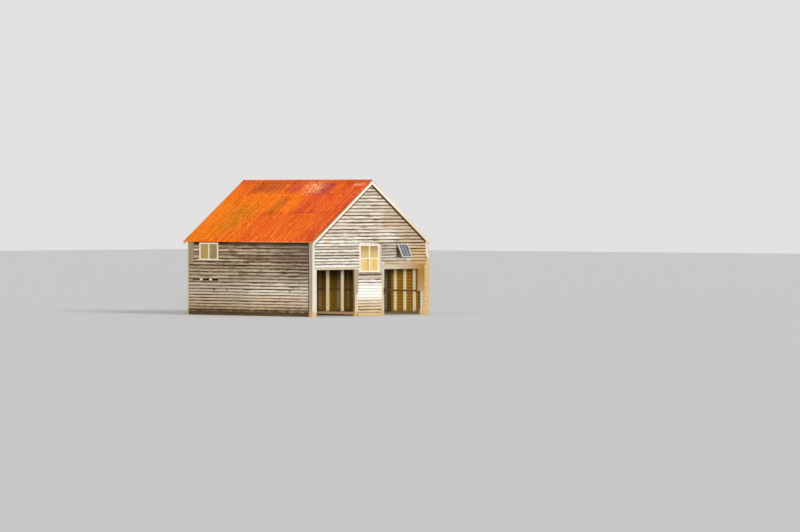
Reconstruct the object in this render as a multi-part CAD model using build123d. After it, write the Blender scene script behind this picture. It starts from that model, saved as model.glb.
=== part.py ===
import os
from math import ceil, cos, radians, sin, tan

from build123d import *

# A timber boathouse standing in the water, with two open berths in its front gable.
# All sizes are in millimetres. X runs to the right along the front gable,
# Y runs from the front gable to the back wall, and Z is up from the water level.

# Overall size of the clad walls and the roof
wall_width = 6900
wall_length = 7000
eave_height = 2980
roof_pitch = 35.4
eave_overhang = 70
front_verge = 70
back_verge = 230

# Clearance between a piece and the piece that it fits into or lies on
seat_gap = 0.3

# Wall timber
cladding_thickness = 30
trim_proud = 8
frame_depth = 100
stud_width = 75
stud_spacing = 535
gable_stud_spacing = 560
sole_height = 75
plate_thickness = 70
mid_rail_bottom = 930
mid_rail_height = 65
mid_rail_thickness = 32
left_first_stud = 430
right_first_stud = 700

# Roof timber and iron
rafter_width = 50
rafter_depth = 100
rafter_spacing = 680
rafter_seat = 55
batten_width = 75
batten_thickness = 30
batten_spacing = 640
first_batten = 70
ridge_board_thickness = 32
ridge_board_depth = 150
sheet_depth = 18
sheet_thickness = 3
corrugation_pitch = 76
crest_share = 0.25
sheet_ridge_gap = 25
cap_leg = 190
cap_leg_start = 30
cap_thickness = 3
cap_roll_radius = 24
barge_height = 132
barge_thickness = 24
barge_joint = 2
tie_width = 50
tie_depth = 125
tie_shares = (0.25, 0.5, 0.75)

# Berth openings: each starts a margin in from its corner and ends at the pier between them
opening_top = 1875
left_berth_margin = 245
right_berth_margin = 440
pier_width = 1708
pier_offset = -76
pier_post_left_width = 140
pier_post_right_width = 118
right_jamb_post_width = 130
left_lintel_board_height = 105
right_lintel_board_height = 175
lintel_beam_depth = 100

# Boards that trim the berths and corners
corner_board_width = 128
corner_return_width = 180
back_corner_return_width = 120
jamb_board_reach = 46
jamb_board_overlap = 30
jamb_board_bottom = 930
pier_edge_overlap = 12
pier_edge_notch_bottom = 865
pier_edge_notch_height = 240
pier_edge_notch_depth = 35
lining_reach = 202
lining_right_overlap = 70
lining_bottom = 965
sprung_board_bottom = 2320
sprung_board_bend = 2500
sprung_board_reach = 80
sprung_board_thickness = 22
sprung_board_shift = 45
lower_corner_board_top = 2220
lower_corner_board_width = 82
lower_corner_board_shift = 34

# Missing weatherboard and worn end on the left wall
missing_board_bottom = 1402
missing_board_height = 77
missing_board_margin = 92
missing_board_length = 1618
worn_end_low = 1000
worn_end_high = 2050
worn_end_low_depth = 45
worn_end_high_depth = 70
end_board_width = 250
end_board_thickness = 24
end_board_bottom = 2060

# Front window, its centre measured from the middle of the pier
front_window_offset = -22
front_window_width = 1167
front_window_bottom = 1758
front_window_height = 1125
front_casing_width = 112
front_casing_thickness = 18
# Side window, a margin in from the back corner
side_window_margin = 655.5
side_window_width = 1065
side_window_bottom = 2229
side_window_height = 715
# Joinery that both windows share
sash_width = 58
mullion_width = 46
window_proud = 14
glass_thickness = 4
sill_height = 45
sill_proud = 34
sill_end = 18

# Solar panel beside the window, a margin in from the right corner
panel_margin = 1290
panel_width = 575
panel_length = 590
panel_thickness = 35
panel_top = 2870
panel_lean = 27
panel_rim = 18
panel_cell_recess = 3
bracket_bar = 24

# Walkway between the berths and the row of posts that stands in it
centre_post_width = 90
centre_post_first = 1460
centre_post_spacing = 820
centre_line_offset = -64
centre_beam_depth = 125
walkway_left_inset = 170
walkway_right_inset = 130
walkway_top = 150
deck_thickness = 28
bearer_width = 75
bearer_depth = 90

# Values worked out from the sizes above
half_width = wall_width / 2
slope = radians(roof_pitch)
panel_tilt = radians(panel_lean)
front_reach = panel_length * sin(panel_tilt) + panel_thickness * cos(panel_tilt) + seat_gap
front_face = -wall_length / 2 + (front_reach - back_verge) / 2
back_face = front_face + wall_length
roof_front = front_face - front_verge + barge_thickness
roof_back = back_face + back_verge - barge_thickness
apex = eave_height + (half_width + eave_overhang) * tan(slope)
frame_face = half_width - cladding_thickness
inner_face = frame_face - frame_depth
batten_top = -(sheet_depth + seat_gap)
rafter_top = batten_top - batten_thickness - seat_gap
rafter_bottom = rafter_top - rafter_depth
frame_front = front_face + cladding_thickness
frame_back = back_face - cladding_thickness
lintel_beam_top = opening_top + lintel_beam_depth
left_lintel_top = opening_top + left_lintel_board_height
right_lintel_top = opening_top + right_lintel_board_height

# Places along the front, measured from the left corner
pier_centre = half_width + pier_offset
left_berth_start = left_berth_margin
left_berth_end = pier_centre - pier_width / 2
right_berth_start = pier_centre + pier_width / 2
right_berth_end = wall_width - right_berth_margin
pier_cladding_left = left_berth_end + pier_post_left_width + jamb_board_overlap
pier_cladding_right = right_berth_start - pier_post_right_width - pier_edge_overlap
front_window_centre = pier_centre + front_window_offset
panel_left = wall_width - panel_margin - panel_width
centre_line = pier_centre + centre_line_offset
walkway_left = left_berth_end + walkway_left_inset
walkway_right = right_berth_start - walkway_right_inset

# Places along the left wall, measured from the front corner
side_window_centre = wall_length - side_window_margin - side_window_width / 2
missing_board_back = wall_length - missing_board_margin
missing_board_front = missing_board_back - missing_board_length


# X of a place measured along the front from the left corner
def along(distance):
    return distance - half_width


# Y of a place measured from the front face towards the back
def behind(distance):
    return front_face + distance


# Height of a plane that lies parallel to the roof, offset from the crests of the sheets
def roof_height(x, offset):
    return apex + offset / cos(slope) - abs(x) * tan(slope)


# Point on one roof slope, from its distance down the slope and its offset from the crests
def slope_point(side, down, offset, y):
    x = side * (down * cos(slope) + offset * sin(slope))
    return (x, y, apex - down * sin(slope) + offset * cos(slope))


plate_top = roof_height(frame_face - rafter_seat, rafter_bottom)
plate_bottom = plate_top - plate_thickness
side_cladding_top = roof_height(half_width + trim_proud, -sheet_depth) - seat_gap


# Square-cut timber between two corners
def timber(x_range, y_range, z_range):
    low = Vector(x_range[0], y_range[0], z_range[0])
    high = Vector(x_range[1], y_range[1], z_range[1])
    size = high - low
    return Pos(*((low + high) / 2)) * Box(*size)


# Piece whose outline lies in the plane of a gable, given as points of x and z
def gable_piece(outline, y_start, y_end):
    face = make_face(Polyline(*[(x, y_start, z) for x, z in outline], close=True))
    return extrude(face, amount=y_end - y_start, dir=(0, 1, 0))


# Piece whose outline lies in the plane of a side wall, given as points of y and z
def side_piece(outline, x_start, x_end):
    face = make_face(Polyline(*[(x_start, y, z) for y, z in outline], close=True))
    return extrude(face, amount=x_end - x_start, dir=(1, 0, 0))


# Timber that lies along one roof slope
def slope_timber(side, down_range, offset_range, y_range):
    corners = []
    for down, offset in (
        (down_range[0], offset_range[0]),
        (down_range[1], offset_range[0]),
        (down_range[1], offset_range[1]),
        (down_range[0], offset_range[1]),
    ):
        x, y, z = slope_point(side, down, offset, y_range[0])
        corners.append((x, z))
    return gable_piece(corners, y_range[0], y_range[1])


# Upright timber whose head is cut to the underside of the rafters
def gable_stud(centre, width, bottom, y_range):
    left = centre - width / 2
    right = centre + width / 2
    outline = [
        (left, bottom),
        (right, bottom),
        (right, roof_height(right, rafter_bottom) - seat_gap),
        (left, roof_height(left, rafter_bottom) - seat_gap),
    ]
    return gable_piece(outline, y_range[0], y_range[1])


# Evenly spaced places from a first one, none beyond the last
def places(first, spacing, last):
    found = []
    place = first
    while place <= last:
        found.append(place)
        place += spacing
    return found


def write(name, solids):
    if len(solids) == 1:
        export_step(solids[0], f"parts/{name}.step")
    else:
        export_step(Compound(children=solids), f"parts/{name}.step")


# Cladding and corner boards reach up to the underside of the battens
def cladding_top(x):
    return roof_height(x, rafter_top)


def front_gable_cladding():
    left = along(corner_board_width)
    right = -left
    step = along(pier_cladding_right)
    outline = [
        (left, left_lintel_top),
        (step, left_lintel_top),
        (step, right_lintel_top),
        (right, right_lintel_top),
        (right, cladding_top(right)),
        (0, cladding_top(0)),
        (left, cladding_top(left)),
    ]
    wall = gable_piece(outline, front_face, frame_front)
    return [wall - front_window_hole()]


def front_window_hole():
    left = along(front_window_centre - front_window_width / 2)
    return timber(
        (left, left + front_window_width),
        (front_face - front_verge, frame_front),
        (front_window_bottom, front_window_bottom + front_window_height),
    )


def pier_cladding():
    wall = timber(
        (along(pier_cladding_left), along(pier_cladding_right)),
        (front_face, frame_front),
        (0, left_lintel_top),
    )
    return [wall - front_window_hole()]


def front_right_cladding():
    post_edge = along(right_berth_end + right_jamb_post_width)
    lining_edge = post_edge + lining_right_overlap
    right = half_width - corner_board_width
    outline = [
        (post_edge, 0),
        (right, 0),
        (right, right_lintel_top),
        (lining_edge, right_lintel_top),
        (lining_edge, lining_bottom),
        (post_edge, lining_bottom),
    ]
    return [gable_piece(outline, front_face, frame_front)]


# The left wall ends short at the back where its boards are worn away
def left_wall_cladding():
    front = behind(corner_return_width)
    low_end = back_face - worn_end_low_depth
    high_end = back_face - worn_end_high_depth
    outline = [
        (front, 0),
        (frame_back, 0),
        (frame_back, worn_end_low),
        (low_end, worn_end_low),
        (low_end, worn_end_high),
        (high_end, worn_end_high),
        (high_end, side_cladding_top),
        (front, side_cladding_top),
    ]
    wall = side_piece(outline, -half_width, -frame_face)
    wall -= side_window_hole()
    wall -= timber(
        (-half_width, -frame_face),
        (behind(missing_board_front), behind(missing_board_back)),
        (missing_board_bottom, missing_board_bottom + missing_board_height),
    )
    return [wall]


# A short upright board covers the worn upper end of the left wall
def left_wall_end_board():
    back = back_face - worn_end_high_depth
    return [
        timber(
            (-half_width - end_board_thickness, -half_width),
            (back - end_board_width, back),
            (end_board_bottom, side_cladding_top - end_board_thickness * tan(slope)),
        )
    ]


def side_window_hole():
    front = behind(side_window_centre - side_window_width / 2)
    return timber(
        (-half_width - front_verge, -frame_face),
        (front, front + side_window_width),
        (side_window_bottom, side_window_bottom + side_window_height),
    )


def right_wall_cladding():
    wall = timber(
        (frame_face, half_width),
        (behind(corner_return_width), back_face - back_corner_return_width),
        (0, side_cladding_top),
    )
    return [wall]


def back_wall_cladding():
    side = half_width - corner_board_width
    outline = [
        (-side, 0),
        (side, 0),
        (side, cladding_top(side)),
        (0, cladding_top(0)),
        (-side, cladding_top(side)),
    ]
    return [gable_piece(outline, frame_back, back_face)]


# The front left corner board widens below the lintel, where it also faces the jamb post
def front_left_corner_board():
    outer = -half_width - trim_proud
    outline = [
        (outer, 0),
        (along(left_berth_start), 0),
        (along(left_berth_start), opening_top),
        (along(corner_board_width), opening_top),
        (along(corner_board_width), cladding_top(along(corner_board_width))),
        (outer, cladding_top(outer)),
    ]
    front = gable_piece(outline, front_face - trim_proud, frame_front)
    side = timber(
        (outer, -frame_face),
        (front_face - trim_proud, behind(corner_return_width)),
        (0, cladding_top(outer)),
    )
    return [front + side]


# Plain boards behind the loose corner boards close the right end of the gable
def front_right_corner_board():
    left = half_width - corner_board_width
    outer = half_width + trim_proud
    outline = [
        (left, 0),
        (frame_face, 0),
        (frame_face, cladding_top(frame_face)),
        (left, cladding_top(left)),
    ]
    front = gable_piece(outline, front_face, frame_front)
    side = timber(
        (frame_face, outer),
        (front_face, behind(corner_return_width)),
        (0, cladding_top(outer)),
    )
    return [front + side]


# The upper front corner board has come loose and springs away from the wall at its foot
def sprung_corner_board():
    face = front_face
    front = face - sprung_board_thickness
    right = half_width - sprung_board_shift
    outline = [
        (face, cladding_top(right)),
        (front, cladding_top(right)),
        (front, sprung_board_bend),
        (front - sprung_board_reach, sprung_board_bottom),
        (face - sprung_board_reach, sprung_board_bottom),
        (face, sprung_board_bend),
    ]
    return [side_piece(outline, right - corner_board_width, right)]


def lower_corner_board():
    right = half_width + lower_corner_board_shift
    return [
        timber(
            (right - lower_corner_board_width, right),
            (front_face - sprung_board_thickness, front_face),
            (0, lower_corner_board_top),
        )
    ]


# The back corner boards; the one on the left has lost the board on its side face
def back_corner_board(side):
    outer = side * (half_width + trim_proud)
    inner = side * (half_width - corner_board_width)
    outline = [
        (outer, 0),
        (inner, 0),
        (inner, cladding_top(inner)),
        (outer, cladding_top(outer)),
    ]
    board = gable_piece(outline, frame_back, back_face + trim_proud)
    if side > 0:
        board += timber(
            (frame_face, outer),
            (back_face - back_corner_return_width, frame_back),
            (0, cladding_top(outer)),
        )
    return [board]


def left_lintel_board():
    return [
        timber(
            (along(corner_board_width), along(pier_cladding_left)),
            (front_face - trim_proud, frame_front),
            (opening_top, left_lintel_top),
        )
    ]


def right_lintel_board():
    right = along(right_berth_end + right_jamb_post_width) + lining_right_overlap
    return [
        timber(
            (along(pier_cladding_right), right),
            (front_face - trim_proud, frame_front),
            (opening_top, right_lintel_top),
        )
    ]


def left_jamb_board():
    return [
        timber(
            (along(left_berth_end - jamb_board_reach), along(pier_cladding_left)),
            (front_face - trim_proud, frame_front),
            (jamb_board_bottom, opening_top),
        )
    ]


# The board on the right edge of the pier has a piece broken out of it
def pier_edge_board():
    left = along(pier_cladding_right)
    right = along(right_berth_start)
    board = timber((left, right), (front_face - trim_proud, frame_front), (0, opening_top))
    board -= timber(
        (right - pier_edge_notch_depth, right),
        (front_face - trim_proud, frame_front),
        (pier_edge_notch_bottom, pier_edge_notch_bottom + pier_edge_notch_height),
    )
    return [board]


def right_lining_board():
    post_edge = along(right_berth_end + right_jamb_post_width)
    return [
        timber(
            (along(right_berth_end - lining_reach), post_edge + lining_right_overlap),
            (front_face - trim_proud, frame_front),
            (lining_bottom, opening_top),
        )
    ]


# A barge board covers the ends of the battens and the sheets, level with the crests.
# The pair meet in a plumb joint under the ridge, and each lower end is cut square
def barge_board(side, y_start):
    joint = barge_joint / 2
    length = (half_width + eave_overhang) / cos(slope)
    outline = [(side * joint, roof_height(joint, 0)), (side * joint, roof_height(joint, -barge_height))]
    for offset in (-barge_height, 0):
        x, y, z = slope_point(side, length, offset, y_start)
        outline.append((x, z))
    return [gable_piece(outline, y_start, y_start + barge_thickness)]


# Corner posts stand in the water and carry the ends of the wall plates
def corner_posts():
    solids = []
    for side in (-1, 1):
        x_range = sorted((side * inner_face, side * frame_face))
        for y in (frame_front, frame_back - frame_depth):
            solids.append(timber(x_range, (y, y + frame_depth), (0, plate_bottom)))
    return solids


# Posts on either side of each berth, under the lintel beams
def berth_posts():
    left_post = along(cladding_thickness + frame_depth)
    edges = [
        (left_post, along(left_berth_start)),
        (along(left_berth_end), along(left_berth_end + pier_post_left_width)),
        (along(right_berth_start - pier_post_right_width), along(right_berth_start)),
        (along(right_berth_end), along(right_berth_end + right_jamb_post_width)),
    ]
    y_range = (frame_front, frame_front + frame_depth)
    return [timber(edge, y_range, (0, opening_top)) for edge in edges]


def king_stud_edges():
    left = along(left_berth_end + pier_post_left_width)
    right = along(right_berth_start - pier_post_right_width)
    return (left, left + stud_width), (right - stud_width, right)


def front_lintel_beams():
    y_range = (frame_front, frame_front + frame_depth)
    left_king, right_king = king_stud_edges()
    z_range = (opening_top, lintel_beam_top)
    return [
        timber((-inner_face, left_king[0]), y_range, z_range),
        timber((right_king[1], inner_face), y_range, z_range),
    ]


# The window stands between two tall studs, with a trimmer above and below it
def pier_studs():
    y_range = (frame_front, frame_front + frame_depth)
    left_king, right_king = king_stud_edges()
    window_top = front_window_bottom + front_window_height
    span = (left_king[1], right_king[0])
    middle = (span[0] + span[1]) / 2
    sill_trimmer = (front_window_bottom - stud_width, front_window_bottom)
    head_trimmer = (window_top, window_top + stud_width)
    solids = []
    for king in (left_king, right_king):
        centre = (king[0] + king[1]) / 2
        solids.append(gable_stud(centre, stud_width, sole_height, y_range))
    solids.append(timber(span, y_range, sill_trimmer))
    solids.append(timber(span, y_range, head_trimmer))
    cripple = (middle - stud_width / 2, middle + stud_width / 2)
    solids.append(timber(cripple, y_range, (sole_height, sill_trimmer[0])))
    return solids


def front_gable_studs():
    y_range = (frame_front, frame_front + frame_depth)
    left_king, right_king = king_stud_edges()
    solids = []
    first = gable_stud_spacing + stud_width / 2
    for distance in places(first, gable_stud_spacing, inner_face + left_king[0] - stud_width):
        solids.append(gable_stud(distance - inner_face, stud_width, lintel_beam_top, y_range))
    for distance in places(first, gable_stud_spacing, inner_face - right_king[1] - stud_width):
        solids.append(gable_stud(inner_face - distance, stud_width, lintel_beam_top, y_range))
    return solids


def back_wall_studs():
    y_range = (frame_back - frame_depth, frame_back)
    solids = []
    for distance in places(gable_stud_spacing / 2, gable_stud_spacing, inner_face - stud_width):
        for side in (-1, 1):
            solids.append(gable_stud(side * distance, stud_width, sole_height, y_range))
    return solids


# Studs of one side wall; those in the way of a window stop under its sill
def side_wall_studs(side, first):
    x_range = sorted((side * inner_face, side * frame_face))
    solids = []
    last = wall_length - cladding_thickness - frame_depth - stud_width
    for distance in places(first, stud_spacing, last):
        top = plate_bottom
        window_reach = (side_window_width + stud_width) / 2
        if side < 0 and abs(distance - side_window_centre) < window_reach:
            top = side_window_bottom
        y = behind(distance)
        y_range = (y - stud_width / 2, y + stud_width / 2)
        solids.append(timber(x_range, y_range, (sole_height, top)))
    return solids


def left_wall_studs():
    return side_wall_studs(-1, left_first_stud)


def right_wall_studs():
    return side_wall_studs(1, right_first_stud)


# Timber that runs along one side wall between the corner posts
def side_rail(side, x_depths, z_range, y_inset):
    outer = side * (frame_face - x_depths[0])
    inner = side * (frame_face - x_depths[1])
    y_range = (frame_front + y_inset, frame_back - y_inset)
    return timber(sorted((outer, inner)), y_range, z_range)


def side_mid_rail(side):
    depths = (frame_depth, frame_depth + mid_rail_thickness)
    heights = (mid_rail_bottom, mid_rail_bottom + mid_rail_height)
    return [side_rail(side, depths, heights, frame_depth)]


def sole_plates():
    solids = [side_rail(side, (0, frame_depth), (0, sole_height), frame_depth) for side in (-1, 1)]
    back_range = (frame_back - frame_depth, frame_back)
    solids.append(timber((-inner_face, inner_face), back_range, (0, sole_height)))
    left_king, right_king = king_stud_edges()
    front_range = (frame_front, frame_front + frame_depth)
    solids.append(timber((left_king[0], right_king[1]), front_range, (0, sole_height)))
    return solids


def wall_plate(side):
    return [side_rail(side, (0, frame_depth), (plate_bottom, plate_top), 0)]


# Front edge of each rafter, evenly spaced between the two gables
def rafter_rows():
    span = frame_back - frame_front - rafter_width
    count = ceil(span / rafter_spacing)
    return [frame_front + span * index / count for index in range(count + 1)]


# Rafters have a level seat on the wall plate and a plumb cut at the ridge board
def rafters(side):
    ridge = ridge_board_thickness / 2
    seat_end = frame_face - rafter_seat
    outline = [
        (side * frame_face, plate_top),
        (side * seat_end, plate_top),
        (side * ridge, roof_height(ridge, rafter_bottom)),
        (side * ridge, roof_height(ridge, rafter_top)),
        (side * frame_face, roof_height(frame_face, rafter_top)),
    ]
    return [gable_piece(outline, y, y + rafter_width) for y in rafter_rows()]


def ridge_board():
    half = ridge_board_thickness / 2
    top = roof_height(half, rafter_top)
    return [timber((-half, half), (frame_front, frame_back), (top - ridge_board_depth, top))]


# Tie beams lie on the wall plates beside a rafter, with ends cut to the slope
def tie_beam(row):
    y = rafter_rows()[row] + rafter_width
    top = plate_top + tie_depth
    corner = (roof_height(0, rafter_top) - top) / tan(slope)
    end_height = roof_height(frame_face, rafter_top)
    outline = [
        (-frame_face, plate_top),
        (frame_face, plate_top),
        (frame_face, end_height),
        (corner, top),
        (-corner, top),
        (-frame_face, end_height),
    ]
    return [gable_piece(outline, y, y + tie_width)]


def roof_battens(side):
    slope_length = frame_face / cos(slope)
    last = slope_length - batten_width
    count = ceil((last - first_batten) / batten_spacing)
    offsets = (batten_top, batten_top - batten_thickness)
    solids = []
    for index in range(count + 1):
        down = first_batten + (last - first_batten) * index / count
        solids.append(slope_timber(side, (down, down + batten_width), offsets, (roof_front, roof_back)))
    return solids


# Corrugated iron: flat crests and valleys with sloping sides between them, drawn
# across the sheet and run down the slope from the ridge to the eave
def corrugated_sheet(side):
    y_start = roof_front + seat_gap
    y_end = roof_back - seat_gap
    waves = round((y_end - y_start) / corrugation_pitch)
    pitch = (y_end - y_start) / waves
    valley = sheet_thickness - sheet_depth
    wave = [(0, 0), (crest_share, 0), (1 / 2, valley), (1 / 2 + crest_share, valley)]
    line = [(y_start + (index + part) * pitch, height) for index in range(waves) for part, height in wave]
    line.append((y_end, 0))
    upper = [slope_point(side, sheet_ridge_gap, height, y) for y, height in line]
    lower = [slope_point(side, sheet_ridge_gap, height - sheet_thickness, y) for y, height in line]
    section = make_face(Polyline(*upper, *reversed(lower), close=True))
    length = (half_width + eave_overhang) / cos(slope) - sheet_ridge_gap
    return [extrude(section, amount=length, dir=(side * cos(slope), 0, -sin(slope)))]


# Ridge capping: two flat legs on the crests of the sheets, joined by a half-round roll
def ridge_cap():
    y_start = roof_front + seat_gap
    y_end = roof_back - seat_gap
    low = seat_gap
    top = low + cap_thickness
    crown = (0, y_start, apex + low + cap_roll_radius)
    upper_crown = (0, y_start, apex + top + cap_roll_radius)
    left_edge, left_start = [slope_point(-1, down, low, y_start) for down in (cap_leg, cap_leg_start)]
    right_edge, right_start = [slope_point(1, down, low, y_start) for down in (cap_leg, cap_leg_start)]
    upper_left_edge, upper_left_start = [
        slope_point(-1, down, top, y_start) for down in (cap_leg, cap_leg_start)
    ]
    upper_right_edge, upper_right_start = [
        slope_point(1, down, top, y_start) for down in (cap_leg, cap_leg_start)
    ]
    edges = [
        Line(upper_left_edge, upper_left_start),
        ThreePointArc(upper_left_start, upper_crown, upper_right_start),
        Line(upper_right_start, upper_right_edge),
        Line(upper_right_edge, right_edge),
        Line(right_edge, right_start),
        ThreePointArc(right_start, crown, left_start),
        Line(left_start, left_edge),
        Line(left_edge, upper_left_edge),
    ]
    section = make_face(Wire(edges))
    return [extrude(section, amount=y_end - y_start, dir=(0, 1, 0))]


# Casement with a rim, a mullion, a transom where it has one, and a sill,
# drawn about its own centre with the outside towards the front
def casement(width, height, has_transom):
    depth = window_proud + cladding_thickness
    rim = Box(width - 2 * seat_gap, depth, height - 2 * seat_gap)
    pane_width = (width - 2 * sash_width - mullion_width) / 2
    rows = 2 if has_transom else 1
    pane_height = (height - 2 * sash_width - (rows - 1) * mullion_width) / rows
    panes = []
    for column in (-1, 1):
        u = column * (pane_width + mullion_width) / 2
        for row in range(rows):
            v = -height / 2 + sash_width + pane_height / 2 + row * (pane_height + mullion_width)
            rim -= Pos(u, 0, v) * Box(pane_width, depth, pane_height)
            glass = Box(pane_width - 2 * seat_gap, glass_thickness, pane_height - 2 * seat_gap)
            panes.append(Pos(u, 0, v) * glass)
    sill_width = width + 2 * sill_end
    sill_depth = sill_proud - window_proud
    sill = Pos(0, -(depth + sill_depth) / 2, -height / 2 + sill_height / 2) * Box(
        sill_width, sill_depth, sill_height
    )
    return rim + sill, panes


def front_window():
    frame, panes = casement(front_window_width, front_window_height, True)
    middle = front_face + (cladding_thickness - window_proud) / 2
    height = front_window_bottom + front_window_height / 2
    place = Pos(along(front_window_centre), middle, height)
    right = along(front_window_centre + front_window_width / 2) - seat_gap
    casing = timber(
        (right, right + front_casing_width),
        (front_face - front_casing_thickness, front_face),
        (front_window_bottom + sill_height, front_window_bottom + front_window_height),
    )
    return [place * frame + casing], [place * pane for pane in panes]


def side_window():
    frame, panes = casement(side_window_width, side_window_height, False)
    middle = -half_width + (cladding_thickness - window_proud) / 2
    height = side_window_bottom + side_window_height / 2
    place = Pos(middle, behind(side_window_centre), height) * Rot(0, 0, -90)
    return [place * frame], [place * pane for pane in panes]


# Point on the back of the leaning panel, from its distance down from the top edge
def panel_point(down, out):
    y = front_face - seat_gap - down * sin(panel_tilt) - out * cos(panel_tilt)
    return (y, panel_top - down * cos(panel_tilt) + out * sin(panel_tilt))


def solar_panel():
    left = along(panel_left)
    outline = [
        panel_point(0, 0),
        panel_point(panel_length, 0),
        panel_point(panel_length, panel_thickness),
        panel_point(0, panel_thickness),
    ]
    recess = [
        panel_point(panel_rim, panel_thickness - panel_cell_recess),
        panel_point(panel_length - panel_rim, panel_thickness - panel_cell_recess),
        panel_point(panel_length - panel_rim, panel_thickness),
        panel_point(panel_rim, panel_thickness),
    ]
    body = side_piece(outline, left, left + panel_width)
    body -= side_piece(recess, left + panel_rim, left + panel_width - panel_rim)
    return [body]


# Each bracket is an upright on the wall with an arm out to the foot of the panel
def panel_brackets():
    foot = panel_point(panel_length - bracket_bar, -seat_gap)
    foot_back = panel_point(panel_length - bracket_bar - bracket_bar / cos(panel_tilt), -seat_gap)
    wall = front_face
    top = panel_top - bracket_bar / tan(panel_tilt) - bracket_bar
    outline = [
        (wall, foot[1]),
        foot,
        foot_back,
        (wall - bracket_bar, foot_back[1]),
        (wall - bracket_bar, top - bracket_bar),
        (wall, top - bracket_bar),
    ]
    left = along(panel_left)
    solids = []
    for x in (left + panel_rim, left + panel_width - panel_rim - bracket_bar):
        solids.append(side_piece(outline, x, x + bracket_bar))
    return solids


def centre_rows():
    last = wall_length - cladding_thickness - frame_depth - centre_post_width
    return places(centre_post_first, centre_post_spacing, last)


# Posts stand in the water along the middle of the walkway
def centre_posts():
    x = along(centre_line)
    half = centre_post_width / 2
    top = plate_top - centre_beam_depth
    return [
        timber((x - half, x + half), (behind(row) - half, behind(row) + half), (0, top))
        for row in centre_rows()
    ]


def centre_beam():
    x = along(centre_line)
    half = centre_post_width / 2
    y_range = (behind(centre_rows()[0]) - half, frame_back - frame_depth)
    return [timber((x - half, x + half), y_range, (plate_top - centre_beam_depth, plate_top))]


# A bearer is bolted to the face of each centre post, and the deck lies on the bearers
def walkway_bearers():
    top = walkway_top - deck_thickness
    x_range = (along(walkway_left), along(walkway_right))
    solids = []
    for row in centre_rows():
        y = behind(row) + centre_post_width / 2
        solids.append(timber(x_range, (y, y + bearer_width), (top - bearer_depth, top)))
    return solids


def walkway_deck():
    x = along(centre_line)
    half = centre_post_width / 2 + seat_gap
    y_range = (frame_front + frame_depth, frame_back - frame_depth)
    z_range = (walkway_top - deck_thickness, walkway_top)
    return [
        timber((along(walkway_left), x - half), y_range, z_range),
        timber((x + half, along(walkway_right)), y_range, z_range),
    ]


os.makedirs("parts", exist_ok=True)

front_window_frame, front_window_glass = front_window()
side_window_frame, side_window_glass = side_window()
front_barge_y = front_face - front_verge
last_row = len(rafter_rows()) - 1
front_tie, middle_tie, back_tie = [tie_beam(round(last_row * share)) for share in tie_shares]

nodes = {
    "front_gable_cladding": front_gable_cladding(),
    "pier_cladding": pier_cladding(),
    "front_right_cladding": front_right_cladding(),
    "left_wall_cladding": left_wall_cladding(),
    "left_wall_end_board": left_wall_end_board(),
    "right_wall_cladding": right_wall_cladding(),
    "back_wall_cladding": back_wall_cladding(),
    "front_left_corner_board": front_left_corner_board(),
    "front_right_corner_board": front_right_corner_board(),
    "sprung_corner_board": sprung_corner_board(),
    "lower_corner_board": lower_corner_board(),
    "back_left_corner_board": back_corner_board(-1),
    "back_right_corner_board": back_corner_board(1),
    "left_lintel_board": left_lintel_board(),
    "right_lintel_board": right_lintel_board(),
    "left_jamb_board": left_jamb_board(),
    "pier_edge_board": pier_edge_board(),
    "right_lining_board": right_lining_board(),
    "front_left_barge_board": barge_board(-1, front_barge_y),
    "front_right_barge_board": barge_board(1, front_barge_y),
    "back_left_barge_board": barge_board(-1, roof_back),
    "back_right_barge_board": barge_board(1, roof_back),
    "corner_posts": corner_posts(),
    "berth_posts": berth_posts(),
    "front_lintel_beams": front_lintel_beams(),
    "pier_studs": pier_studs(),
    "front_gable_studs": front_gable_studs(),
    "back_wall_studs": back_wall_studs(),
    "left_wall_studs": left_wall_studs(),
    "right_wall_studs": right_wall_studs(),
    "left_mid_rail": side_mid_rail(-1),
    "right_mid_rail": side_mid_rail(1),
    "sole_plates": sole_plates(),
    "left_wall_plate": wall_plate(-1),
    "right_wall_plate": wall_plate(1),
    "left_rafters": rafters(-1),
    "right_rafters": rafters(1),
    "ridge_board": ridge_board(),
    "front_tie_beam": front_tie,
    "middle_tie_beam": middle_tie,
    "back_tie_beam": back_tie,
    "left_roof_battens": roof_battens(-1),
    "right_roof_battens": roof_battens(1),
    "left_roof_sheet": corrugated_sheet(-1),
    "right_roof_sheet": corrugated_sheet(1),
    "ridge_cap": ridge_cap(),
    "front_window_frame": front_window_frame,
    "front_window_glass": front_window_glass,
    "side_window_frame": side_window_frame,
    "side_window_glass": side_window_glass,
    "solar_panel": solar_panel(),
    "panel_brackets": panel_brackets(),
    "centre_posts": centre_posts(),
    "centre_beam": centre_beam(),
    "walkway_bearers": walkway_bearers(),
    "walkway_deck": walkway_deck(),
}

for name, solids in nodes.items():
    write(name, solids)
print(len(nodes), "nodes written")
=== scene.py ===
import math
import random
from contextlib import contextmanager

import bmesh
import bpy
from mathutils import Matrix, Vector


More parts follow.
